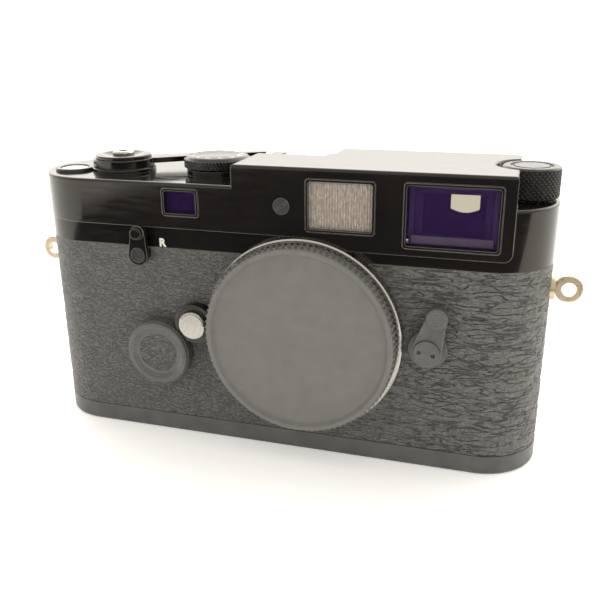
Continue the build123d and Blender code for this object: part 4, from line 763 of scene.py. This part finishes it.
def make_finder_inside():
    """What shows through the finder window: stepped baffles and the light eyepiece patch."""
    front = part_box("window_bezels")[0].y
    left, right, low, high = FINDER_WINDOW
    window = (Vector((left, 0, low)) * MM, Vector((right, 0, high)) * MM)
    mid = ((window[0].x + window[1].x) / 2, (window[0].z + window[1].z) / 2)
    width, height = window[1].x - window[0].x, window[1].z - window[0].z
    for index, (share, depth) in enumerate(((0.88, 2.3), (0.70, 3.6))):
        y = front + depth * MM
        frame_piece("finder_baffle_" + str(index), mid, (width * 0.9, height * 0.9),
                    (width * share * 0.92, height * share * 0.9), 0.6 * MM, y, y + 0.5 * MM, BAFFLES[index])
    # The patch glows: painted light standing in for daylight through the eyepiece.
    patch = Shader("eyepiece_light", (0.72, 0.68, 0.5), 0.6)
    patch.shader.inputs["Emission Color"].default_value = (0.60, 0.56, 0.37, 1)
    patch.shader.inputs["Emission Strength"].default_value = 3.4
    sill_low, sill_high = mid[1] - height * 0.43, mid[1] - height * 0.31
    half, depth = width * 0.42, 0.4 * MM
    corners = [(x, y, z) for y in (front + 1.7 * MM, front + 1.7 * MM + depth)
               for x, z in ((mid[0] - half, sill_low), (mid[0] + half, sill_low),
                            (mid[0] + half, sill_high), (mid[0] - half, sill_high))]
    sides = [(0, 1, 2, 3), (7, 6, 5, 4), (4, 5, 1, 0), (5, 6, 2, 1), (6, 7, 3, 2), (7, 4, 0, 3)]
    add_mesh("finder_sill", corners, sides, SILL, "root", smooth=False)
    y = front + 4.5 * MM
    top, bottom = PATCH_TOP * MM, PATCH_LOW * MM
    left, right = PATCH_SIDES[0] * MM, PATCH_SIDES[1] * MM
    points = [(left, top), (right, top), (right, bottom)]
    for step in range(9):
        share = step / 8
        points.append((right + (left - right) * share, bottom - 0.9 * MM * math.sin(math.pi * share)))
    points.append((left, bottom))
    verts = [(x, y, z) for x, z in points] + [(x, y + 0.3 * MM, z) for x, z in points]
    count = len(points)
    faces = [tuple(range(count)), tuple(reversed(range(count, 2 * count)))]
    faces += [(i, (i + 1) % count, (i + 1) % count + count, i + count) for i in range(count)]
    add_mesh("eyepiece_light_patch", verts, faces, patch.material, "root", smooth=False)


# ---- shutter cloth -------------------------------------------------------------------------------
def make_curtain_cloth(node):
    """Shutter cloth: a box over the curtain's bounds, cut into strips along x, in place of the curtain."""
    low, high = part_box(node)
    columns = 40
    verts = []
    for column in range(columns + 1):
        x = low.x + (high.x - low.x) * column / columns
        verts += [(x, low.y, low.z), (x, high.y, low.z), (x, high.y, high.z), (x, low.y, high.z)]
    last = 4 * columns
    faces = grid_faces(columns + 1, 4, closed=True)
    faces += [(3, 2, 1, 0), (last, last + 1, last + 2, last + 3)]
    piece = add_mesh(node + "_cloth", verts, faces, MATERIALS["cloth"], None, smooth=False)
    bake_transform(piece)
    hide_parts(node)


def make_curtains():
    make_curtain_cloth("first_curtain")
    make_curtain_cloth("second_curtain")


# ---- light, floor, camera ------------------------------------------------------------------------
def make_floor():
    """A plain pale floor, clear from beneath so that the underside can be looked at."""
    s = Shader("floor", (0.93, 0.93, 0.92), 0.6)
    s.shader.inputs["Emission Color"].default_value = (1.0, 0.99, 0.97, 1)
    s.shader.inputs["Emission Strength"].default_value = 0.28
    s.paint(s.colors(s.noise(3, 2), [(0.2, (0.92, 0.92, 0.91)), (0.8, (0.94, 0.94, 0.93))]))
    from_below = s.node("MixShader")
    s.link(s.node("NewGeometry").outputs["Backfacing"], from_below.inputs["Fac"])
    seen_from_above, seen_from_beneath = from_below.inputs[1], from_below.inputs[2]
    s.link(s.shader.outputs["BSDF"], seen_from_above)
    s.link(s.node("BsdfTransparent").outputs["BSDF"], seen_from_beneath)
    s.link(from_below.outputs["Shader"], s.tree.nodes["Material Output"].inputs["Surface"])
    mesh = bpy.data.meshes.new("floor")
    reach = 6.0
    level = -FLOOR_GAP * MM
    corners = ((-reach, -reach), (reach, -reach), (reach, reach), (-reach, reach))
    mesh.from_pydata([(x, y, level) for x, y in corners], [], [(0, 1, 2, 3)])
    mesh.materials.append(s.material)
    floor = bpy.data.objects.new("floor", mesh)
    bpy.context.scene.collection.objects.link(floor)


def make_flag():
    """A dark card lying in front of the object, out of sight: only reflections show it, as in a studio."""
    s = Shader("flag", (0.01, 0.01, 0.01), 0.9)
    place = s.node("SeparateXYZ")
    s.link(s.coords, place.inputs["Vector"])
    across = s.remap(place.outputs["X"], -0.1, 0.4, 0.0, 1.0)
    s.paint(s.colors(across, [(0.0, (0.004, 0.005, 0.008)), (0.5, (0.012, 0.008, 0.009)),
                              (1.0, (0.05, 0.032, 0.03))]))
    mesh = bpy.data.meshes.new("flag")
    left, right, near, far, level = -0.2, 0.7, -0.115, -1.2, 0.001
    corners = ((left, far), (right, far), (right, near), (left - 0.02, near))
    mesh.from_pydata([(x, y, level) for x, y in corners], [], [(0, 1, 2, 3)])
    mesh.materials.append(s.material)
    flag = bpy.data.objects.new("flag", mesh)
    for kind in ("camera", "diffuse", "shadow", "transmission"):
        setattr(flag, "visible_" + kind, False)
    bpy.context.scene.collection.objects.link(flag)


def make_world():
    """Soft white surroundings, with a brighter bank of light high up behind the object."""
    world = bpy.data.worlds.new("studio")
    bpy.context.scene.world = world
    world.use_nodes = True
    tree = world.node_tree
    background = tree.nodes["Background"]
    background.inputs["Color"].default_value = (1.0, 0.965, 0.9, 1)
    coords = tree.nodes.new("ShaderNodeTexCoord")
    split = tree.nodes.new("ShaderNodeSeparateXYZ")
    tree.links.new(coords.outputs["Generated"], split.inputs["Vector"])

    def ramp(value, low, high, out_low, out_high):
        node = tree.nodes.new("ShaderNodeMapRange")
        node.interpolation_type = "SMOOTHSTEP"
        numbers = (("From Min", low), ("From Max", high), ("To Min", out_low), ("To Max", out_high))
        for socket, number in numbers:
            node.inputs[socket].default_value = number
        tree.links.new(value, node.inputs["Value"])
        return node.outputs["Result"]

    def combine(operation, a, b):
        node = tree.nodes.new("ShaderNodeMath")
        node.operation = operation
        tree.links.new(a, node.inputs[0])
        tree.links.new(b, node.inputs[1])
        return node.outputs["Value"]

    high_up = ramp(split.outputs["Z"], 0.08, 0.3, 0.0, 1.0)
    behind = ramp(split.outputs["Y"], 0.0, 0.6, 0.0, 2.0)
    base = ramp(split.outputs["Y"], -1.0, 0.4, 0.85, 1.35)
    strength = combine("ADD", base, combine("MULTIPLY", high_up, behind))
    tree.links.new(strength, background.inputs["Strength"])


def make_camera():
    """The view from the front, a little above and to the right."""
    place = Vector(CAMERA_PLACE) * MM
    flat = math.cos(PITCH)
    view = Vector((-math.sin(YAW) * flat, math.cos(YAW) * flat, math.sin(PITCH)))
    right = Vector((view.y, -view.x, 0)).normalized()
    up = right.cross(view)
    level = Matrix((right, up, -view)).transposed()
    camera = bpy.data.cameras.new("camera")
    camera.sensor_width = SENSOR_WIDTH
    camera.lens = FOCAL_SHARE * SENSOR_WIDTH
    camera.clip_start = 0.005
    rig = bpy.data.objects.new("camera", camera)
    rig.matrix_world = Matrix.Translation(place) @ (level @ Matrix.Rotation(-ROLL, 3, "Z")).to_4x4()
    bpy.context.scene.collection.objects.link(rig)
    bpy.context.scene.camera = rig


make_leather()
make_door_leather()
make_battery_leather()
make_rewind_knob()
make_speed_dial()
make_film_marks()
make_index_letter()
make_bezel_edges()
make_selector_rings()
make_finder_inside()
make_curtains()
make_floor()
make_flag()
make_world()
make_camera()
bpy.context.scene.view_settings.view_transform = "Standard"
